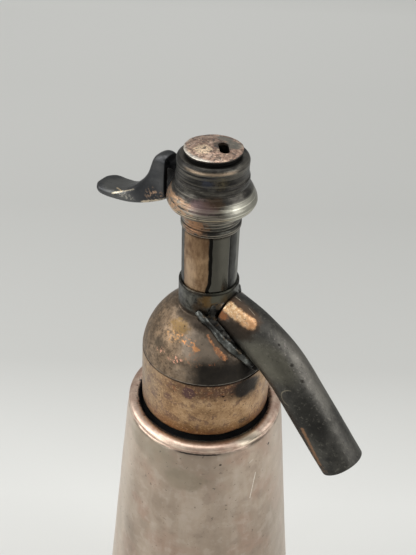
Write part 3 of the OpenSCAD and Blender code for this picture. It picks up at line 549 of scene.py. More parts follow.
def brown_plate():
    """Silver gone brown, rubbed through to gold and copper in places, with a near-black painted shadow below
    the spout and painted shade beside the solder ridge.
    """
    f = Finish("brown_plate")
    cloud = f.noise(6, 5, 0.6)
    fine = f.noise(1.1, 5, 0.65, shift=3)
    blotch = f.noise(2.4, 6, 0.66, shift=18)
    colour = f.ramp(cloud, [(0.34, (94, 82, 72)), (0.52, (128, 113, 98)), (0.68, (156, 139, 122))])
    flecks = f.between(fine, 0.53, 0.6)
    left = f.times(f.sector(-179, -80, 14, 8, 8), f.between(f.z, 262, 256))
    # painted shadow: the dome near black below the spout
    painted_spout_shadow = f.times(f.sector(-66, 60, 9, 9, 6), f.between(f.ragged(f.z, 1.2, 5), 251.5, 246.5))
    collar = f.between(f.ragged(f.z, 0.2, 2), 260.6, 261.6)
    copper, flame = (180, 130, 98), (226, 160, 108)
    glow = f.mix(flecks, copper, flame)
    colour = f.coat(
        colour,
        ((138, 116, 92), left, 0.55),
        ((90, 76, 62), left, f.between(fine, 0.54, 0.4), 0.75),
        ((84, 72, 60), f.between(blotch, 0.5, 0.4), 0.5),
        ((172, 146, 118), f.between(blotch, 0.54, 0.64), 0.4),
        ((150, 136, 121), f.patch((9, -16, 253), (7.5, 6.5, 6), 0.25, 4), 0.75),
        ((54, 48, 42), f.streak((-3, -11.4, 259.8), (6, -12, 258.7), 4.6, 1, 2, 0.4), 0.8),
        # painted shade and burn marks: a dark band beside the solder ridge
        ((60, 53, 47), f.streak((5, -12, 259), (22, -10, 249), 4, 1, 2, 0.5, shift=4), 0.6),
        ((42, 40, 38), painted_spout_shadow, 0.94),
        ((78, 70, 60), f.patch((-6.8, -20, 249.6), (2.4, 2.4, 2.2), 0.6, 1.6, 0.4), 0.7),
        ((120, 96, 60), f.patch((-1.6, -15.6, 256.9), (4.4, 3, 2.3), 0.7, 1.4, 0.4),
         f.between(fine, 0.36, 0.5), 0.75),
        ((174, 134, 90), f.patch((-1.5, -18, 254.2), (4.4, 3, 2.1), 0.5, 1.8, shift=4), flecks, 0.8),
        ((202, 144, 96), f.streak((-0.6, -17, 255.6), (7.4, -17.4, 253), 1.4, 0.6, 1.3, shift=2), flecks,
         0.9),
        (flame, f.patch((5.6, -17.6, 253.8), (3.4, 1.8, 1.5), 0.45, 2, shift=2), flecks),
        (flame, f.patch((7.6, -17.6, 252.6), (1.3, 1.3, 1.0), 0.8, 0.9, shift=6), 0.8),
        ((226, 166, 140), f.patch((2.1, -21.9, 247.9), (3.2, 2, 1.6), 0.5, 1.5, shift=1), flecks, 0.9),
        ((222, 168, 142), f.patch((-5.3, -21.4, 248), (2, 1.6, 1.4), 0.5, 1.5, shift=9), flecks, 0.9),
        (copper, f.patch((8.5, -19.5, 249), (3.4, 2.4, 2.8), 0.45, 1.6, shift=7), flecks, 0.5),
        (glow, f.streak((9.2, -12.9, 256.6), (13.4, -13.6, 253.2), 1.1, 0.4, 0.9)),
        (glow, f.streak((13.4, -13.6, 253.2), (16.9, -12.6, 250), 1.9, 0.8, 0.9, shift=3)),
        ((160, 106, 76), f.streak((16.4, -13, 250), (13.6, -17.4, 247.8), 1.4, 0.8, 0.9, shift=5), flecks,
         0.8),
        ((60, 50, 36), f.patch((0.6, -14.6, 257.6), (0.5, 0.4, 0.5), 0.2, 0.6)),
    )
    dark_collar = f.coat(
        f.ramp(f.noise(2.2, 5, 0.65, shift=12), [(0.38, (38, 37, 35)), (0.62, (88, 87, 81))]),
        ((108, 84, 52), f.patch((6.2, -8.5, 267), (3.2, 3.2, 2.6), 0.5, 1.6, 0.4), 0.75),
        ((58, 46, 34), f.patch((3.4, -10, 263.6), (2.6, 2.6, 2.2), 0.5, 1.6, 0.4, shift=4), 0.7),
        ((90, 90, 80), f.sector(-50, -6, 4, 3, 3), f.between(f.ragged(f.z, 0.6, 2), 265.8, 267), 0.9),
        ((150, 136, 116), f.patch((1.5, -10.4, 270), (4, 4, 0.7), 0.3, 1), 0.25),
        ((24, 22, 20), f.heights(269.3, 270.1, 0.15, 0.12, 1.5), 0.75),
    )
    colour = f.coat(
        colour,
        (dark_collar, collar),
        ((48, 43, 38), f.heights(260.2, 261.5, 0.5, 0.4, 2), 0.7),
        ((52, 46, 40), f.specks(0.8, 0.05, 14), 0.6),
        ((142, 136, 126), f.heights(SEAM_Z + 0.22, SEAM_Z + 0.62, 0.16, 0.16, 1.4),
         f.between(cloud, 0.36, 0.56), 0.6),
        ((30, 27, 25), f.between(f.z, SEAM_Z + 0.3, SEAM_Z + 0.1)),
    )
    smooth = f.ramp(f.noise(5, 5, 0.6, shift=8), [(0.35, 0.46), (0.65, 0.3)])
    roughness = f.coat(smooth, (0.5, flecks, 0.5), (0.56, left, 0.8))
    f.bump(f.noise(3, 4, 0.6, shift=6), 0.14)
    f.bump(fine, 0.04)
    return f.metal(colour, roughness)


def neck_plate():
    """The neck's copper face between painted reflections: a smooth grey panel in black outlines, dark sides
    and a light edge.
    """
    f = Finish("neck_plate")
    brushed = f.noise(1.4, 5, 0.6, stretch=(1, 1, 3))
    cloud = f.noise(6, 4, 0.55, shift=5)
    copper = f.coat(
        f.ramp(cloud, [(0.35, (106, 82, 61)), (0.65, (148, 122, 94))]),
        ((168, 140, 110), f.between(brushed, 0.48, 0.64), 0.35),
        ((96, 72, 54), f.between(brushed, 0.5, 0.38), 0.4),
        ((90, 68, 50), f.patch((3.5, -9, 289), (5, 4, 4.5), 0.3, 4, 0.4), 0.6),
        ((168, 146, 122), f.patch((-1.5, -9.5, 276), (2.6, 2.6, 7), 0.3, 4, 0.5), 0.5),
        ((84, 58, 44), f.specks(0.7, 0.05, 4), 0.6),
    )
    # painted reflections: dark sides, and a grey panel in black outlines on the copper face
    dark = f.ramp(f.noise(3, 5, 0.65, stretch=(1, 1, 2.5)), [(0.35, (29, 28, 26)), (0.65, (66, 66, 63))])
    panel_reflection = f.ramp(f.noise(8, 3, 0.5, stretch=(1, 1, 2)), [(0.35, (64, 63, 57)), (0.65, (80, 78, 71))])
    face = f.either(f.sector(-117, -57, 1.6, 2.4, 2.6), f.times(f.sector(60, 150, 6, 12, 6), 0.8))
    panel_left = f.math("ADD", f.ragged(f.around, 1.3, 3, 2), f.times(f.between(f.z, 275, 270.5), 5))
    panel_right = f.ragged(f.around, 1.4, 4, 6)
    panel = f.times(f.between(panel_left, -50.5, -48.8), f.between(panel_right, -13, -14.5))
    outline = f.times(f.between(panel_left, -58.5, -55.5), f.between(panel_right, -10, -11.5),
                      f.outside(panel))
    # painted reflection: a light grey edge on the right
    edge = f.times(f.sector(8, 40, 3, 3, 5), 0.8)
    colour = f.coat(
        dark,
        (copper, face),
        ((22, 21, 19), outline),
        (panel_reflection, panel),
        ((112, 112, 106), edge),
        ((30, 26, 23), f.between(f.z, SOCKET_Z - 1.4, SOCKET_Z - 0.4), 0.75),
    )
    roughness = f.coat(f.ramp(brushed, [(0.35, 0.5), (0.65, 0.36)]), (0.2, panel))
    f.bump(f.noise(4, 3, stretch=(1, 1, 3)), 0.06)
    f.bump(panel, 0.12)
    f.bump(brushed, 0.015)
    return f.metal(colour, roughness)


def dark_housing():
    """Blackened silver with lathe lines, worn to copper on the ring's left and on the socket, with painted
    highlights on the ring's right and on the ridge near the top.
    """
    f = Finish("dark_housing")
    cloud = f.noise(4, 5, 0.6, stretch=(2, 2, 1))
    fine = f.noise(0.9, 5, 0.65, stretch=(2.4, 2.4, 1), shift=4)
    lines = f.lathe_lines(0.5)
    dark_lines = f.lathe_lines(0.7, 0.42, 0.05, 7)
    colour = f.ramp(cloud, [(0.34, (36, 35, 34)), (0.52, (56, 54, 51)), (0.68, (92, 89, 83))])
    flare = f.heights(RING_Z + 0.4, RING_Z + 6.5, 0.6)
    turned = f.either(flare, f.between(f.z, RING_Z + 0.6, RING_Z - 0.4))
    copper = (176, 136, 104)
    socket = f.between(f.z, SOCKET_Z + 7.3, SOCKET_Z + 6.9)
    colour = f.coat(
        colour,
        ((84, 78, 72), flare, 0.5),
        ((140, 134, 122), lines, 0.22),
        ((176, 166, 150), lines, turned, 0.5),
        ((30, 29, 28), f.outside(dark_lines), 0.62),
        ((190, 152, 120), flare, f.sector(-179, -98, 10, 8, 4), f.between(fine, 0.4, 0.55), 0.9),
        ((164, 134, 108), flare, f.sector(-110, -80, 7, 9, 3), f.between(fine, 0.46, 0.56), 0.7),
        (copper, flare, f.sector(100, 179, 10, 8, 4), f.between(fine, 0.46, 0.6), 0.7),
        ((136, 112, 112), f.patch((5.4, -12.6, 306), (4.4, 3, 2.1), 0.5, 1.6, 0.5), 0.5),
        ((96, 74, 54), f.patch((8.4, -10.6, 307.4), (3.4, 3, 1.8), 0.5, 1.6, 0.5, shift=3), fine, 0.8),
        ((64, 70, 88), f.patch((6, -10, 314.2), (2.6, 2.4, 1.8), 0.7, 1.2, 0.7), f.between(fine, 0.35, 0.6),
         0.45),
        ((108, 98, 76), f.patch((8.4, -8, 314), (2, 2, 1.8), 0.7, 1.2, 0.7, shift=5),
         f.between(fine, 0.35, 0.6), 0.5),
        # painted highlight: a light band on the ring's right side
        ((190, 188, 174), f.sector(-36, 40, 10, 8, 3), flare, f.coat(0.45, (0.95, lines))),
        # painted highlight: a cream line along the ridge near the top, at the front
        ((168, 148, 126), f.heights(HOUSING_TOP - 1.7, HOUSING_TOP - 0.9, 0.25, 0.2, 1.5),
         f.sector(-95, -20, 12, 8, 3), 0.75),
        ((22, 20, 18), f.heights(HOUSING_TOP - 2.7, HOUSING_TOP - 2.4, 0.16, 0.5, 2.2),
         f.sector(-140, -60, 10, 8, 3), 0.9),
        ((138, 104, 78), socket, f.patch((-0.6, -9.9, 296.8), (5, 3, 4.8), 0.6, 1.8, 0.5),
         f.between(fine, 0.36, 0.52), 0.9),
        ((134, 130, 120), socket, f.sector(-160, -112, 8, 6, 3), 0.5),
        ((92, 93, 86), socket, f.sector(-42, 12, 6, 5, 2), f.between(fine, 0.4, 0.56), 0.5),
        ((24, 22, 20), f.heights(SOCKET_Z + 2.0, SOCKET_Z + 2.5, 0.15, 0.22, 2), 0.8),
        ((206, 192, 164), f.heights(RING_Z + 2.0, RING_Z + 2.35, 0.16, 0.06, 2), f.between(cloud, 0.4, 0.5),
         0.8),
        ((150, 138, 118), f.heights(RING_Z - 0.1, RING_Z + 0.5, 0.2, 0.06, 2), 0.5),
        ((30, 28, 26), f.specks(0.7, 0.05, 9), 0.5),
    )
    roughness = f.coat(f.ramp(cloud, [(0.35, 0.46), (0.65, 0.34)]), (0.34, lines, 0.5))
    f.bump(lines, 0.04)
    f.bump(dark_lines, 0.07)
    f.bump(fine, 0.03)
    f.bump(f.noise(2.6, 4, 0.6, shift=15), 0.06)
    return f.metal(colour, roughness)


def coppered_plate():
    """Pinkish copper showing through pitted silver, with a grey worn patch at the back and a painted
    highlight on the top.
    """
    f = Finish("coppered_plate")
    cloud = f.noise(2.6, 6, 0.68)
    fine = f.noise(0.7, 4, 0.65, shift=3)
    side = f.between(f.z, CAP_Z + 0.85, CAP_Z + 0.6)
    colour = f.ramp(cloud, [(0.34, (134, 110, 98)), (0.5, (184, 154, 136)), (0.66, (218, 194, 176))])
    grey_patch = f.either(f.patch((-0.2, 6.6, 320.7), (3.2, 1.9, 1), 0.35, 1.8),
                          f.patch((4.4, 4.6, 320.5), (2.6, 2.6, 1), 0.35, 1.8, shift=4))
    hole_edge = f.patch((1.9, 1.5, 320.5), (2.9, 2.6, 2), 0.2, 1.2)
    colour = f.coat(
        colour,
        # painted highlight: a bright cream spot on the cap's top
        ((246, 220, 188), f.patch((-1.4, -4, 320.7), (3.2, 2.4, 1), 0.5, 1.6, shift=2), 0.8),
        ((104, 92, 86), f.between(fine, 0.53, 0.6), 0.6),
        ((96, 90, 86), f.between(f.noise(1.3, 4, 0.6, shift=6), 0.55, 0.61), 0.75),
        ((234, 206, 178), f.between(f.noise(1.6, 4, 0.6, shift=26), 0.56, 0.64), 0.6),
        ((128, 127, 119), grey_patch, 0.8),
        ((84, 78, 73), hole_edge, 0.75),
        ((58, 57, 55), side, 0.95),
        ((224, 218, 206), f.heights(CAP_Z + 0.72, CAP_Z + 1.02, 0.1), f.sector(-179, -60, 14), 0.9),
    )
    roughness = f.ramp(fine, [(0.35, 0.5), (0.65, 0.3)])
    f.bump(f.noise(1.5, 4, 0.6, shift=8), 0.26)
    f.bump(fine, 0.08)
    return f.metal(colour, roughness)


def black_patina():
    """Charcoal patina, scratched on the pad and rubbed to copper where the blade meets the ring, with
    painted shade on the upright part and near black where it reaches into the housing.
    """
    f = Finish("black_patina")
    cloud = f.noise(6, 5, 0.55, stretch=(2, 1, 1))
    fine = f.noise(1.0, 5, 0.65, shift=2)
    colour = f.ramp(cloud, [(0.34, (58, 59, 61)), (0.66, (86, 86, 86))])
    flecks = f.between(fine, 0.5, 0.58)
    colour = f.coat(
        colour,
        ((112, 112, 108), f.patch((-37, -1, 292), (9, 5, 3), 0.25, 4), 0.4),
        ((200, 190, 168), f.streak((-38.7, -5.5, 291.7), (-35.2, -4.4, 293.2), 0.7, 0.35, 0.8), 0.8),
        ((196, 178, 150), f.streak((-38.6, -3.1, 292.8), (-35.2, -4.4, 293.2), 0.5, 0.3, 0.8, shift=3)),
        ((190, 178, 156), f.streak((-35.2, -4.4, 293.2), (-29.8, -4.3, 296), 0.5, 0.35, 0.8, shift=6), 0.7),
        ((150, 146, 138), f.patch((-33, -5, 292.6), (3.4, 1.4, 1.6), 0.6, 0.9, shift=2), flecks, 0.8),
        # painted shade: a darker patch in the middle of the lever's upright part
        ((42, 43, 46), f.patch((-25, -4.4, 298), (6.4, 3, 5.6), 0.25, 3, 0.5), 0.8),
        ((158, 130, 108), f.patch((-19.6, -4.4, 296.6), (4.4, 3, 2.8), 0.6, 1.6, 0.5), flecks, 0.8),
        ((206, 190, 166), f.streak((-26, -4, 292.3), (-17.6, -3.4, 295.8), 1.5, 0.5, 1.6, 0.4),
         f.between(fine, 0.34, 0.48), 0.9),
        # painted shade: near black where the lever reaches into the housing's slot
        ((10, 10, 11), f.between(f.x, -17.3, -16.8)),
        ((42, 42, 43), f.specks(0.8, 0.05, 4), 0.5),
    )
    roughness = f.ramp(f.noise(3, 5, 0.6, shift=9), [(0.35, 0.5), (0.65, 0.36)])
    f.bump(f.noise(2.5, 4, 0.6, shift=12), 0.06)
    f.bump(fine, 0.015)
    return f.metal(colour, roughness)


def dark_plate():
    """The spout's dark satin plate, worn to bright copper near its root, with pits and a ring mark, a
    painted olive reflection along its front and a painted highlight along the top of its bend.
    """
    f = Finish("dark_plate")
    cloud = f.noise(7, 5, 0.6)
    fine = f.noise(1.1, 5, 0.65, shift=5)
    colour = f.ramp(cloud, [(0.34, (56, 55, 53)), (0.66, tuple(bpy.context.scene.siphon_head.plate))])
    flecks = f.between(fine, 0.47, 0.57)
    off_centre = f.vector("LENGTH", f.vector("SUBTRACT", f.place, (40.4, -7.5, 241.4)))
    ring_edge = f.math("ABSOLUTE", f.math("SUBTRACT", off_centre, 3.1))
    near_root = f.mix(flecks, (216, 174, 130), (242, 212, 172))
    further_out = f.mix(flecks, (204, 154, 112), (232, 184, 138))
    bright = f.mix(f.between(f.ragged(f.x, 2, 3), 14, 22), near_root, further_out)
    worn = f.streak((9.8, -5.0, 266.4), (20.8, -4.4, 262.0), 4.0, 0.7, 2.2, 0.3)
    halo = f.streak((10, -4.2, 266.4), (19.4, -4.0, 262.6), 8.2, 1.2, 2.4, 0.5, shift=4)
    pits = f.either(f.patch((31.7, -2.7, 257.4), (0.6, 0.35, 0.3), 0.5, 0.5, 0.5),
                    f.patch((37.8, -3.6, 252.1), (0.9, 0.6, 0.5), 0.5, 0.5, 0.5, shift=3),
                    f.patch((42.4, -3.7, 247.4), (0.8, 0.6, 0.5), 0.5, 0.5, 0.5, shift=5))
    colour = f.coat(
        colour,
        # painted reflection: an olive zone along the spout's front
        ((104, 101, 90), f.patch((31, -6.5, 252), (13, 3, 7), 0.2, 5, 0.4), 0.75),
        ((128, 124, 117), f.patch((42, 1.5, 249), (16, 4.5, 14), 0.25, 4, 0.45), 0.5),
        ((46, 45, 43), f.patch((48.5, -6.5, 236), (9, 3.4, 10), 0.25, 4, 0.4, shift=4), 0.6),
        ((150, 142, 138), f.specks(1.2, 0.12, 8), f.patch((37, -2, 254), (12, 4, 9), 0.1, 4), 0.45),
        ((132, 128, 118), f.between(fine, 0.56, 0.66), 0.3),
        ((46, 45, 43), f.between(fine, 0.42, 0.34), 0.4),
        ((88, 69, 55), halo, 0.8),
        ((50, 43, 37), f.patch((15.8, -7.6, 259.2), (8.4, 2.4, 3.2), 0.3, 2.5, 0.35), 0.9),
        ((128, 84, 54), f.patch((11.2, -7.2, 262.8), (1.8, 1.4, 1.8), 0.7, 0.9, 0.4), 0.8),
        (bright, worn),
        ((164, 140, 128), worn, f.between(f.noise(0.9, 3, 0.6, shift=6), 0.56, 0.64), 0.5),
        # painted highlight: a thin light line along the top of the bend, near the root
        ((206, 198, 178), f.streak((11.4, -0.1, 266.8), (15.6, -0.2, 265.8), 0.3, 0.1, 1), 0.8),
        ((180, 168, 148), f.streak((15.6, -0.2, 265.8), (20.4, -1.2, 263.8), 0.26, 0.14, 1), 0.5),
        ((160, 122, 92), f.streak((47, -7.9, 230.6), (55, -7.5, 218.6), 1.5, 0.6, 1.5, 0.5), 0.65),
        ((146, 114, 90), f.streak((51, -7.7, 222.6), (57, -7.2, 216.6), 2.6, 0.8, 1.5, 0.5, shift=3),
         flecks, 0.6),
        ((150, 142, 124), f.between(ring_edge, 0.32, 0.1), f.between(f.ragged(f.x, 1, 2), 41, 39.4), 0.5),
        ((44, 42, 39), pits, 0.8),
        ((36, 35, 33), f.specks(0.9, 0.03, 17), 0.6),
    )
    roughness = f.coat(f.ramp(f.noise(4, 5, 0.6, shift=13), [(0.35, 0.56), (0.65, 0.42)]), (0.42, worn))
    f.bump(f.noise(5, 4, 0.55, shift=2), 0.2)
    f.bump(f.noise(2, 4, 0.6, shift=22), 0.06)
    f.bump(fine, 0.04)
    f.bump(f.outside(pits), 0.2)
    return f.metal(colour, roughness)


def lumpy_solder(name, dark, middle, bright):
    """Solder as it froze, lumpy and unevenly tarnished."""
    f = Finish(name)
    colour = f.ramp(f.noise(2.6, 5, 0.6), [(0.36, dark), (0.52, middle), (0.68, bright)])
    colour = f.coat(colour, ((104, 84, 60), f.between(f.noise(3, 3, shift=4), 0.56, 0.62), 0.35))
    sunk = f.either(f.patch((8.4, -11, 258.8), (2.4, 2.6, 1.9), 0.4, 2, 0.6),
                    f.patch((23, -5, 246), (2.6, 2.6, 2.6), 0.4, 2, 0.6))
    colour = f.coat(colour, ((36, 34, 32), sunk, 0.85))
    f.bump(f.noise(1.6, 4, 0.6, shift=3), 0.1)
    return f.metal(colour, f.ramp(f.noise(1, 3), [(0.35, 0.45), (0.65, 0.28)]))


def bare_brass():
    """Turned brass, dulled and specked with brown."""
    f = Finish("bare_brass")
    turned = f.lathe_lines(0.4)
    cloud = f.noise(5, 5, 0.6)
    colour = f.coat(
        f.ramp(cloud, [(0.34, (150, 116, 60)), (0.66, (202, 168, 100))]),
        ((112, 80, 42), f.specks(1.3, 0.15, 3), 0.5),
        ((224, 196, 136), turned, 0.3),
    )
    f.bump(turned, 0.01)
    return f.metal(colour, f.ramp(cloud, [(0.35, 0.42), (0.65, 0.26)]))


def steel_wire():
    """Drawn steel with a few specks of rust."""
    f = Finish("steel_wire")
    drawn = f.noise(0.5, 4, 0.6, stretch=(3, 3, 1))
    colour = f.coat(
        f.ramp(drawn, [(0.35, (120, 122, 124)), (0.65, (186, 188, 190))]),
        ((112, 80, 58), f.specks(0.8, 0.08, 5), 0.6),
    )
    f.bump(drawn, 0.006)
    return f.metal(colour, f.ramp(drawn, [(0.35, 0.36), (0.65, 0.24)]))


def rubber(name, dark, light):
    """Old rubber with a dull bloom."""
    f = Finish(name)
    bloom = f.noise(3, 5, 0.6)
    grain = f.noise(0.35, 3)
    f.bump(grain, 0.02)
    return f.solid(f.ramp(bloom, [(0.35, dark), (0.7, light)]), f.ramp(grain, [(0.3, 0.9), (0.7, 0.72)]))


def seal_leather():
    """Black greased leather; on the cap washer the black also stands for painted shade in the groove under
    the cap.
    """
    f = Finish("seal_leather")
    grain = f.cells(2.2)
    colour = f.coat(
        f.ramp(f.noise(2.5, 5), [(0.35, (10, 9, 9)), (0.68, (20, 18, 17))]),
        ((15, 13, 11), f.between(grain, 0.25, 0.5), 0.4),
    )
    f.bump(grain, 0.05)
    f.shader.inputs["Specular IOR Level"].default_value = 0.1
    return f.solid(colour, f.ramp(grain, [(0.2, 0.62), (0.6, 0.8)]))


def cork():
    """Pressed cork."""
    f = Finish("cork")
    seams = f.between(f.cells(0.45), 0.55, 0.75)
    granule = f.noise(2.2, 4, 0.6)
    colour = f.coat(
        f.ramp(granule, [(0.35, (150, 108, 70)), (0.65, (198, 158, 112))]),
        ((92, 62, 40), seams, 0.6),
        ((74, 48, 32), f.specks(1.4, 0.06, 4)),
    )
    f.bump(granule, 0.12)
    return f.solid(colour, f.ramp(granule, [(0.3, 0.92), (0.7, 0.78)]))


def bottle_glass():
    """Clear, faintly green glass with a few seeds in it."""
    f = Finish("bottle_glass")
    seeds = f.specks(1.6, 0.012, 3, 0.01)
    tint = f.mix(f.noise(30, 2), (206, 226, 222), (224, 238, 232))
    f.bump(f.noise(14, 2), 0.12)
    f.bump(seeds, 0.04)
    f.shader.inputs["Transmission Weight"].default_value = 1.0
    f.shader.inputs["IOR"].default_value = 1.5
    return f.solid(tint, f.ramp(f.noise(9, 3), [(0.3, 0.02), (0.7, 0.06)]))


def black_rubber():
    """The black rubber of the cushions and the valve."""
    return rubber("black_rubber", (18, 17, 16), (32, 31, 30))


def red_rubber():
    """The red rubber of the ring on the bottle's lip."""
    return rubber("red_rubber", (112, 46, 34), (146, 66, 50))


# ---------- settings ----------

class JacketSettings(bpy.types.PropertyGroup):
    """Sizes and colour of the jacket."""
    bead: FloatProperty(name="Bead", description="Thickness of the rolled rim",
                        default=3.3 * MM, unit="LENGTH")
    wall: FloatProperty(name="Wall", description="Thickness of the sheet",
                        default=0.9 * MM, unit="LENGTH")
    silver: FloatVectorProperty(name="Silver", description="The plate where it is cleanest",
                                default=srgb(182, 165, 149), subtype="COLOR", size=4, min=0, max=1)


class HeadSettings(bpy.types.PropertyGroup):
    """Colours of the head."""
    gilt: FloatVectorProperty(name="Gilt", description="The band's worn gilding",
                              default=srgb(170, 138, 104), subtype="COLOR", size=4, min=0, max=1)
    plate: FloatVectorProperty(name="Plate", description="The spout's dark plate, where it is lightest",
                               default=srgb(88, 86, 81), subtype="COLOR", size=4, min=0, max=1)


class CameraSettings(bpy.types.PropertyGroup):
    """Where the photograph was taken from."""
    lens: FloatProperty(name="Lens", description="Focal length on a sensor 36 mm long", default=54.03)
    turn: FloatProperty(name="Turn", description="Angle round the siphon from the spout's side view",
                        default=math.radians(35), subtype="ANGLE")
    distance: FloatProperty(name="Distance", description="Distance from the siphon's axis, on the level",
                            default=233.192 * MM, unit="LENGTH")
    height: FloatProperty(name="Height", description="Height above the floor",
                          default=442.456 * MM, unit="LENGTH")
    pitch: FloatProperty(name="Pitch", description="How far the camera looks down",
                         default=math.radians(36.554), subtype="ANGLE")
    yaw: FloatProperty(name="Yaw", description="How far the camera looks past the axis",
                       default=math.radians(-0.0943), subtype="ANGLE")
    roll: FloatProperty(name="Roll", description="How far the camera is tilted sideways",
                        default=math.radians(2.0), subtype="ANGLE")


# ---------- jacket and collar nut ----------

class SIPHON_OT_jacket(bpy.types.Operator):
    """Turns the tapered jacket with its rolled rim"""
    bl_idname = "siphon.jacket"
    bl_label = "Jacket"

    def execute(self, context):
        settings = context.scene.siphon_jacket
        wall, bead = settings.wall / MM, settings.bead / MM
        groove_z = RIM_Z - bead
        foot_r = widest("jacket", LEDGE_Z, LEDGE_Z + 0.5)
        top_r = widest("jacket", groove_z - 1.5, groove_z + 0.5)
        bead_outer, bead_inner = top_r - 0.3, RIM_HOLE_R + 0.4
        bead_centre = ((bead_outer + bead_inner) / 2, RIM_Z - bead / 2)
        outline = (
            line((foot_r, LEDGE_Z), (top_r, groove_z - 0.6), 40)
            + [(top_r, groove_z - 0.6), (top_r - 0.7, groove_z + 0.25)]
            + oval(bead_centre, (bead_outer - bead_inner) / 2, bead / 2, -48, 205, 18)
            + line((top_r - wall + 0.2, groove_z - 2), (foot_r - wall, LEDGE_Z), 12)
            + [(foot_r - wall, LEDGE_Z)]
        )
        jacket = turn("jacket_shell", outline, 144)
        refine(jacket)
        weather(jacket, 26, 0.35)
        shade(jacket)
        seat(jacket, "siphon", "silver_plate", silver_plate(), "jacket")
        return {"FINISHED"}


class SIPHON_OT_collar_nut(bpy.types.Operator):
    """Turns the band that screws the head to the bottle"""
    bl_idname = "siphon.collar_nut"
    bl_label = "Collar nut"

    def execute(self, context):
        bore_r, hole_r, flange, edge_r = 22.4, 19.6, 3.5, 0.9
        outline = (
            [(hole_r, BAND_Z), (BAND_BOTTOM_R - 3, BAND_Z)]
            + arc((BAND_BOTTOM_R - edge_r, BAND_Z - BAND_DROP + edge_r), edge_r, -90, 0, 4)
            + line((BAND_BOTTOM_R, BAND_Z + 3), (BAND_TOP_R, SEAM_Z - 0.3), 14)
            + [(BAND_TOP_R, SEAM_Z - 0.3), (BAND_TOP_R - 0.3, SEAM_Z),
               (bore_r, SEAM_Z), (bore_r, BAND_Z + flange), (hole_r, BAND_Z + flange)]
        )
        band = turn("collar_band", outline, 128)
        round_edges(band, 0.12)
        refine(band)
        weather(band, 9, 0.12)
        shade(band)
        seat(band, "siphon", "worn_gilt", worn_gilt(), "collar_nut")
        return {"FINISHED"}


# ---------- head and spout ----------

DOME_CURVE_R = 27.8               # of the dome's side, seen from the side
DOME_WALL = 2.2
FLANGE = 3                        # thickness of the barrel's flange


class SIPHON_OT_head_dome(bpy.types.Operator):
    """Turns the dome, with its screwed skirt and the collar round the neck"""
    bl_idname = "siphon.head_dome"
    bl_label = "Head dome"

    def execute(self, context):
        sink, cove, seam_angle = 3.6, 1.5, 8.3
        hole_r = NECK_R + 0.02
        skirt_z = low("head_dome")
        skirt_r = widest("head_dome", skirt_z, SEAM_Z - 0.1)
        step_z = high("lip_gasket") + FLANGE
        centre = (BAND_TOP_R - math.sqrt(DOME_CURVE_R ** 2 - sink ** 2), SEAM_Z - sink)
        top_angle = math.degrees(math.acos((COLLAR_R + cove - centre[0]) / DOME_CURVE_R))
        join_z = centre[1] + DOME_CURVE_R * math.sin(math.radians(top_angle))
        outline = (
            [(skirt_r, skirt_z), (skirt_r, SEAM_Z), (BAND_TOP_R - 0.25, SEAM_Z)]
            + arc(centre, DOME_CURVE_R, seam_angle, top_angle, 20)
            + arc((COLLAR_R + cove * 0.75, join_z + cove * 0.75), cove * 0.75, 215, 180, 3)
            + line((COLLAR_R, join_z + cove), (COLLAR_R, NECK_Z - 0.4), 5)
            + [(COLLAR_R, NECK_Z - 0.4), (COLLAR_R - 0.4, NECK_Z), (hole_r, NECK_Z)]
            + line((hole_r, NECK_Z - 1), (hole_r, SEAM_Z + 16.4), 4)
            + arc(centre, DOME_CURVE_R - DOME_WALL, 58, 24, 8)
            + [(17.5, step_z + 2), (17.5, step_z), (20.5, step_z), (20.5, skirt_z)]
        )
        dome = turn("head_shell", outline, 144)
        round_edges(dome, 0.15)
        refine(dome)
        weather(dome, 8, 0.18)
        shade(dome)
        seat(dome, "siphon", "brown_plate", brown_plate(), "head_dome")
        return {"FINISHED"}


SPOUT_ROOT = Vector((6, 0, 259.7))
SPOUT_R = 7.9
SPOUT_WALL = 1.6
SPOUT_LIP = 0.25                  # how much the edge of its end is rounded
SPOUT_BEND_R = 54
SPOUT_SLOPE = math.radians(9.3)   # at its root
SPOUT_HIDDEN = math.radians(3)    # how much of its bend is left out, inside the head
SPOUT_END_SLOPE = SPOUT_SLOPE + math.radians(40)
SPOUT_STRAIGHT = 33.8
BEND_CENTRE = SPOUT_ROOT - SPOUT_BEND_R * Vector((math.sin(SPOUT_SLOPE), 0, math.cos(SPOUT_SLOPE)))


def on_bend(slope):
    """Point of the spout's middle line where the bend has a slope."""
    return BEND_CENTRE + SPOUT_BEND_R * Vector((math.sin(slope), 0, math.cos(slope)))


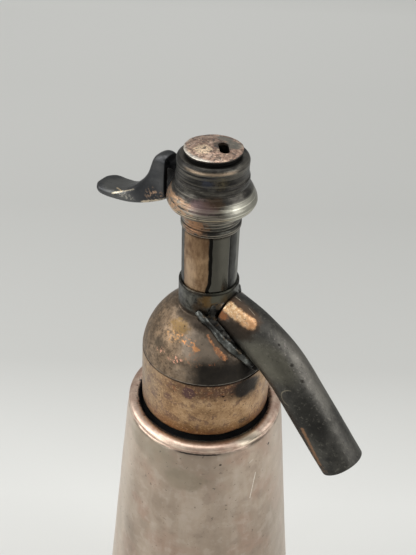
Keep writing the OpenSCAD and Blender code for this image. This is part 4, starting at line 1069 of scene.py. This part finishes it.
class SIPHON_OT_spout(bpy.types.Operator):
    """Bends the spout's tube round an arc and draws out its straight end"""
    bl_idname = "siphon.spout"
    bl_label = "Spout"

    def execute(self, context):
        first = SPOUT_SLOPE + SPOUT_HIDDEN
        spout = start(bpy.ops.mesh.primitive_circle_add, "spout_tube", vertices=64, radius=SPOUT_R * MM,
                      location=on_bend(first) * MM, rotation=(0, math.pi / 2 + first, 0))
        bpy.ops.object.transform_apply(location=True, rotation=True, scale=True)
        edit()
        bpy.ops.mesh.spin(steps=38, angle=SPOUT_END_SLOPE - first, center=BEND_CENTRE * MM, axis=(0, -1, 0))
        self.draw_out_end()
        close_up()
        leave_edit()
        modifier(spout, "SOLIDIFY", thickness=SPOUT_WALL * MM, offset=-1, use_rim=True)
        refine(spout)
        weather(spout, 14, 0.3)
        shade(spout, 60)
        seat(spout, "siphon", "dark_plate", dark_plate(), "spout")
        return {"FINISHED"}

    def draw_out_end(self):
        """Extrudes the straight end in short steps, up to its rounded lip."""
        along = Vector((math.cos(SPOUT_END_SLOPE), 0, -math.sin(SPOUT_END_SLOPE)))
        steps = 26
        step = SPOUT_STRAIGHT / steps
        for run in [step] * (steps - 1) + [step - 2 * SPOUT_LIP, SPOUT_LIP, SPOUT_LIP]:
            extrude_by(along * run)
        tip = on_bend(SPOUT_END_SLOPE) + along * SPOUT_STRAIGHT
        shrink = (SPOUT_R - SPOUT_LIP) / SPOUT_R
        bpy.ops.transform.resize(value=(shrink, shrink, shrink), center_override=tip * MM)


class SIPHON_OT_solder(bpy.types.Operator):
    """Runs lumpy solder where the spout enters the head"""
    bl_idname = "siphon.solder"
    bl_label = "Solder"

    def execute(self, context):
        solder = copy_of_node("spout_solder", "spout_saddle")
        soften(solder, 0.3, 8)
        self.press_onto_collar(solder)
        weather(solder, 3, 0.35)
        shade(solder, 180)
        burnt = lumpy_solder("burnt_solder", (24, 23, 22), (58, 57, 54), (96, 95, 90))
        seat(solder, "siphon", "solder", burnt, "spout_saddle")
        ridge = self.ridge_beside_spout()
        soften(ridge, 0.25, 10)
        weather(ridge, 3.2, 0.7)
        shade(ridge, 180)
        seat(ridge, "siphon", "solder", lumpy_solder("solder", (56, 57, 55), (88, 89, 86), (124, 126, 122)))
        return {"FINISHED"}

    def press_onto_collar(self, solder):
        """Presses the arms of the solder flat against the collar, near its top."""
        arms_z, squeeze, fade = NECK_Z - 3.4, 0.88, 2.5
        for v in solder.data.vertices:
            v.select = v.co.z > arms_z * MM
        bpy.ops.object.mode_set(mode="EDIT")
        bpy.ops.transform.resize(value=(squeeze, squeeze, 1), center_override=(0, 0, NECK_Z * MM),
                                 use_proportional_edit=True, proportional_size=fade * MM)
        leave_edit()

    def ridge_beside_spout(self):
        """The thick run of solder down the dome, on the side where the tube leans on it."""
        path = [((2.6, -10.1, 262.4), 1.1), ((5.6, -10.3, 260.4), 1.5), ((9.2, -10.2, 258.2), 1.2),
                ((13, -10.1, 255.4), 1.6), ((16.8, -9.2, 252.8), 1.9), ((20, -7.9, 250), 1.8),
                ((22.2, -6.2, 247.2), 1.5), ((23.4, -4.8, 244.8), 1.0)]     # (point, radius)
        (first, radius), (last, _) = path[0], path[-1]
        run = Vector(last) - Vector(first)
        ridge = start(bpy.ops.mesh.primitive_circle_add, "solder_ridge", vertices=20, radius=radius * MM,
                      fill_type="NGON", location=Vector(first) * MM,
                      rotation=run.to_track_quat("Z", "Y").to_euler())
        bpy.ops.object.transform_apply(location=True, rotation=True, scale=True)
        edit()
        for (at, radius), (to, next_radius) in zip(path, path[1:]):
            extrude_by(Vector(to) - Vector(at))
            grow = next_radius / radius
            bpy.ops.transform.resize(value=(grow, grow, grow), center_override=Vector(to) * MM)
        leave_edit()
        return ridge


# ---------- lever housing, cap and lever ----------

class SIPHON_OT_lever_housing(bpy.types.Operator):
    """Turns the housing's socket, ring and waist, and cuts the lever's slot"""
    bl_idname = "siphon.lever_housing"
    bl_label = "Lever housing"

    def execute(self, context):
        bore, thread, step = 7.4, 8.92, 0.35     # radii, and how far the socket steps in
        ring, top = RING_Z, HOUSING_TOP
        outline = [
            (thread, SOCKET_Z), (SOCKET_R, SOCKET_Z), (SOCKET_R, SOCKET_Z + 1.6),
            (SOCKET_R - step, SOCKET_Z + 2.1), (SOCKET_R - step, ring - 0.8), (SOCKET_R + 0.7, ring - 0.2),
            (RING_R - 2, ring + 0.2), (RING_R - 0.6, ring + 1.1), (RING_R, ring + 2.4),
            (RING_R - 0.15, ring + 3.6), (RING_R - 0.6, ring + 4.5),
            (RING_R * 0.62 + WAIST_R * 0.38, ring + 6.1), (RING_R * 0.32 + WAIST_R * 0.68, ring + 7.5),
            (WAIST_R + 0.3, ring + 9), (WAIST_R + 0.5, ring + 9.6), (WAIST_R + 0.5, ring + 11.2),
            (WAIST_R + 0.1, ring + 11.9), (WAIST_R, top - 4.2), (WAIST_R + 0.2, top - 1.6),
            (WAIST_R, top - 1), (WAIST_R - 0.5, top - 0.4), (WAIST_R - 1.1, top),
            (bore, top), (bore, ring - 1), (thread, ring - 1),
        ]
        housing = turn("housing_shell", outline, 128)
        round_edges(housing, 0.2, 20)
        refine(housing)
        weather(housing, 7, 0.1)
        self.cut_slot(housing)
        shade(housing)
        seat(housing, "siphon", "dark_plate", dark_housing(), "lever_housing")
        return {"FINISHED"}

    def cut_slot(self, housing):
        """Cuts the slot through which the lever reaches the valve, at the height of its pin."""
        pin_low, pin_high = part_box("lever_pin")
        slot_z = (pin_low.z + pin_high.z) / 2 / MM - 0.2
        reach, width, height = 20, 5.6, 5.4
        cutter = start(bpy.ops.mesh.primitive_cube_add, "slot_cutter", size=MM,
                       location=(-12 * MM, 0, slot_z * MM), scale=(reach, width, height))
        cut(housing, cutter)


def cut(piece, cutter):
    """Takes a cutter's shape out of a piece."""
    modifier(piece, "BOOLEAN", object=cutter, operation="DIFFERENCE", solver="MANIFOLD")
    bpy.data.objects.remove(cutter)


class SIPHON_OT_cap(bpy.types.Operator):
    """Turns the cap and cuts its oval key hole"""
    bl_idname = "siphon.cap"
    bl_label = "Cap"

    def execute(self, context):
        top = high("top_cap")
        plug_r, plug_z = 7.38, low("top_cap")
        edge_top = CAP_Z + 0.9
        crown_h = top - edge_top
        crown_r = (CAP_R ** 2 + crown_h ** 2) / (2 * crown_h)
        half = math.degrees(math.asin(CAP_R / crown_r))
        outline = (
            [(0, plug_z), (plug_r, plug_z), (plug_r, CAP_Z), (CAP_R - 0.15, CAP_Z), (CAP_R, CAP_Z + 0.2),
             (CAP_R, edge_top - 0.2)]
            + arc((0, top - crown_r), crown_r, 90 - half, 90, 10)
        )
        cap = turn("cap_disc", outline, 128, closed=False)
        round_edges(cap, 0.12)
        refine(cap)
        weather(cap, 7, 0.5)
        weather(cap, 2.4, 0.16)
        cut(cap, self.key_cutter(top))
        shade(cap)
        seat(cap, "siphon", "coppered_plate", coppered_plate(), "top_cap")
        return {"FINISHED"}

    def key_cutter(self, top):
        """An oval bar through the cap, for the hole that the key turns it by."""
        hole_r, run, depth, hole_turn = 1.65, 3.5, 14, math.radians(-47)
        middle = Vector((3.3, 0.8, top))
        first_end = middle - Matrix.Rotation(hole_turn, 3, "Z") @ Vector((run / 2, 0, 0))
        cutter = start(bpy.ops.mesh.primitive_cylinder_add, "key_cutter", vertices=32, radius=hole_r * MM,
                       depth=depth * MM, location=(0, 0, top * MM))
        bpy.ops.object.mode_set(mode="EDIT")
        bpy.ops.mesh.select_all(action="DESELECT")
        leave_edit()
        for v in cutter.data.vertices:
            v.select = v.co.x > 0.01 * MM
        bpy.ops.object.mode_set(mode="EDIT")
        bpy.ops.transform.translate(value=(run * MM, 0, 0))
        leave_edit()
        cutter.location = first_end * MM
        cutter.rotation_euler = (0, 0, hole_turn)
        return cutter


class SIPHON_OT_lever(bpy.types.Operator):
    """Smooths the forged thumb lever"""
    bl_idname = "siphon.lever"
    bl_label = "Lever"

    def execute(self, context):
        lever = copy_of_node("thumb_lever", "lever")
        soften(lever, 0.3, 12)
        weather(lever, 6, 0.12)
        shade(lever, 180)
        seat(lever, "lever", "black_patina", black_patina(), "lever")
        return {"FINISHED"}


# ---------- pieces that keep their CAD shape ----------

FINISHES_OF_NODES = {
    neck_plate: ("neck_barrel",),
    silver_plate: ("foot_ring",),
    bottle_glass: ("glass_bottle", "dip_tube"),
    steel_wire: ("valve_spring", "base_screws"),
    # the cap washer's black is also painted shade for the groove under the cap
    seal_leather: ("spindle_packing", "cap_washer"),
    cork: ("base_cushion",),
    bare_brass: ("base_plate", "split_collar_left", "split_collar_right", "valve_seat", "valve_holder",
                 "spring_collar", "valve_spindle", "spindle_head", "packing_washer", "gland_nut",
                 "lever_pin"),
    black_rubber: ("neck_cushion", "dip_tube_bush", "valve_disc"),
    red_rubber: ("lip_gasket",),
}


class SIPHON_OT_inner_pieces(bpy.types.Operator):
    """Gives the neck, the foot and the pieces inside the siphon their finishes"""
    bl_idname = "siphon.inner_pieces"
    bl_label = "Neck, foot and inner pieces"

    def execute(self, context):
        for finish, nodes in FINISHES_OF_NODES.items():
            material = finish()
            for name in nodes:
                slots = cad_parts[name].data.materials
                slots.clear()
                slots.append(material)
        return {"FINISHED"}


# ---------- studio ----------

# directions on the floor: away from the camera, and across its view
AWAY = (-0.5736, 0.8192, 0)
ACROSS = (0.8192, 0.5736, 0)
# painted light and shade on the floor: how light it is painted, 0 to 255, by distance in mm past the siphon
FLOOR_PAINTED_LIGHT = [(-500, 200), (-60, 206), (120, 212), (250, 187), (480, 187), (770, 206), (1070, 228)]
FLOOR_SIDES_PAINTED_LIGHT = 238                 # painted light: how light the floor is painted on both sides of what the photograph shows
LAMPS = (                         # (name, place in m, width in m, power in W)
    ("left_window", (-0.7, -0.5, 0.85), 0.8, 7),
    ("right_window", (0.75, 0.35, 0.8), 0.9, 4.5),
    ("overhead", (-0.1, 0.1, 1.3), 0.8, 5),
    ("low_front", (-0.3, -1.0, 0.5), 0.3, 1.6),
    ("low_right", (1.0, 0.1, 0.45), 0.3, 1.2),
)
LIT_POINT = Vector((0, 0, 0.22))  # what the lamps are aimed at, in m


def pale_floor():
    """Paper with the photograph's light and shade painted on it, graded from the front to the back and
    lighter on both sides.
    """
    f = Finish("pale_floor")
    near, far = FLOOR_PAINTED_LIGHT[0][0], FLOOR_PAINTED_LIGHT[-1][0]
    past = f.vector("DOT_PRODUCT", f.place, AWAY)
    aside = f.math("ABSOLUTE", f.vector("DOT_PRODUCT", f.place, ACROSS))
    share = f.math("DIVIDE", f.math("SUBTRACT", past, near), far - near)
    middle = f.ramp(share, [((d - near) / (far - near), (v, v, v - 3)) for d, v in FLOOR_PAINTED_LIGHT])
    # painted light: the floor lighter on both sides, beyond the middle
    sides = f.times(f.between(aside, 205, 310), f.between(past, 450, 240))
    return f.solid(f.mix(sides, middle, (FLOOR_SIDES_PAINTED_LIGHT, FLOOR_SIDES_PAINTED_LIGHT, FLOOR_SIDES_PAINTED_LIGHT - 3)), 0.7)


def pale_room():
    """Even light from all round."""
    world = bpy.data.worlds.new("pale_room")
    world.use_nodes = True
    background = world.node_tree.nodes["Background"]
    background.inputs["Color"].default_value = srgb(225, 226, 224)
    background.inputs["Strength"].default_value = 0.55
    return world


def soft_box(name, at, size, power):
    """A square lamp aimed at the siphon."""
    data = bpy.data.lights.new(name, "AREA")
    data.shape = "SQUARE"
    data.size = size
    data.energy = power
    lamp = bpy.data.objects.new(name, data)
    bpy.context.scene.collection.objects.link(lamp)
    lamp.location = at
    lamp.rotation_euler = (LIT_POINT - Vector(at)).to_track_quat("-Z", "Y").to_euler()


def place_camera(scene, settings):
    """Stands the camera where the photograph was taken from."""
    ahead = math.cos(settings.pitch)
    forward = Vector((math.sin(settings.yaw) * ahead, math.cos(settings.yaw) * ahead,
                      -math.sin(settings.pitch)))
    level = Vector((math.cos(settings.yaw), -math.sin(settings.yaw), 0))
    up = level.cross(forward)
    right = math.cos(settings.roll) * level + math.sin(settings.roll) * up
    up = math.cos(settings.roll) * up - math.sin(settings.roll) * level
    turned = Matrix.Rotation(settings.turn, 3, "Z")
    axes = Matrix((turned @ right, turned @ up, turned @ -forward)).transposed()
    data = bpy.data.cameras.new("photograph")
    data.sensor_width = 36
    data.lens = settings.lens
    data.clip_start = 0.01
    camera = bpy.data.objects.new("photograph", data)
    scene.collection.objects.link(camera)
    stand = turned @ Vector((0, -settings.distance, 0)) + Vector((0, 0, settings.height))
    camera.matrix_world = Matrix.Translation(stand) @ axes.to_4x4()
    scene.camera = camera


class SIPHON_OT_studio(bpy.types.Operator):
    """Sets up the floor, the light and the photograph's camera"""
    bl_idname = "siphon.studio"
    bl_label = "Studio"

    def execute(self, context):
        scene = context.scene
        place_camera(scene, scene.siphon_camera)
        floor = start(bpy.ops.mesh.primitive_plane_add, "floor", size=8)
        floor.data.materials.append(pale_floor())
        scene.world = pale_room()
        for lamp in LAMPS:
            soft_box(*lamp)
        scene.view_settings.view_transform = "Standard"
        return {"FINISHED"}


# ---------- panel and registration ----------

class SIPHON_PT_panel(bpy.types.Panel):
    """Lists the siphon's settings and its pieces"""
    bl_idname = "SIPHON_PT_panel"
    bl_label = "Soda siphon"
    bl_space_type = "VIEW_3D"
    bl_region_type = "UI"
    bl_category = "Siphon"

    def draw(self, context):
        for name, group in SETTINGS.items():
            box = self.layout.box()
            for setting in group.__annotations__:
                box.prop(getattr(context.scene, name), setting)
        for operator in OPERATORS:
            self.layout.operator(operator.bl_idname)


SETTINGS = {
    "siphon_jacket": JacketSettings,
    "siphon_head": HeadSettings,
    "siphon_camera": CameraSettings,
}
OPERATORS = (
    SIPHON_OT_studio, SIPHON_OT_jacket, SIPHON_OT_collar_nut, SIPHON_OT_head_dome, SIPHON_OT_spout,
    SIPHON_OT_solder, SIPHON_OT_lever_housing, SIPHON_OT_cap, SIPHON_OT_lever, SIPHON_OT_inner_pieces,
)


def register():
    """Registers the classes and hangs the settings on the scene."""
    for group in SETTINGS.values():
        bpy.utils.register_class(group)
    for operator in OPERATORS:
        bpy.utils.register_class(operator)
    bpy.utils.register_class(SIPHON_PT_panel)
    for name, group in SETTINGS.items():
        setattr(bpy.types.Scene, name, PointerProperty(type=group))


def unregister():
    """Takes back what register did, in the reverse order."""
    for name in SETTINGS:
        delattr(bpy.types.Scene, name)
    bpy.utils.unregister_class(SIPHON_PT_panel)
    for operator in reversed(OPERATORS):
        bpy.utils.unregister_class(operator)
    for group in SETTINGS.values():
        bpy.utils.unregister_class(group)


def main():
    """Builds the whole siphon."""
    register()
    for operator in OPERATORS:
        group, name = operator.bl_idname.split(".")
        getattr(getattr(bpy.ops, group), name)()


if __name__ == "__main__":
    main()
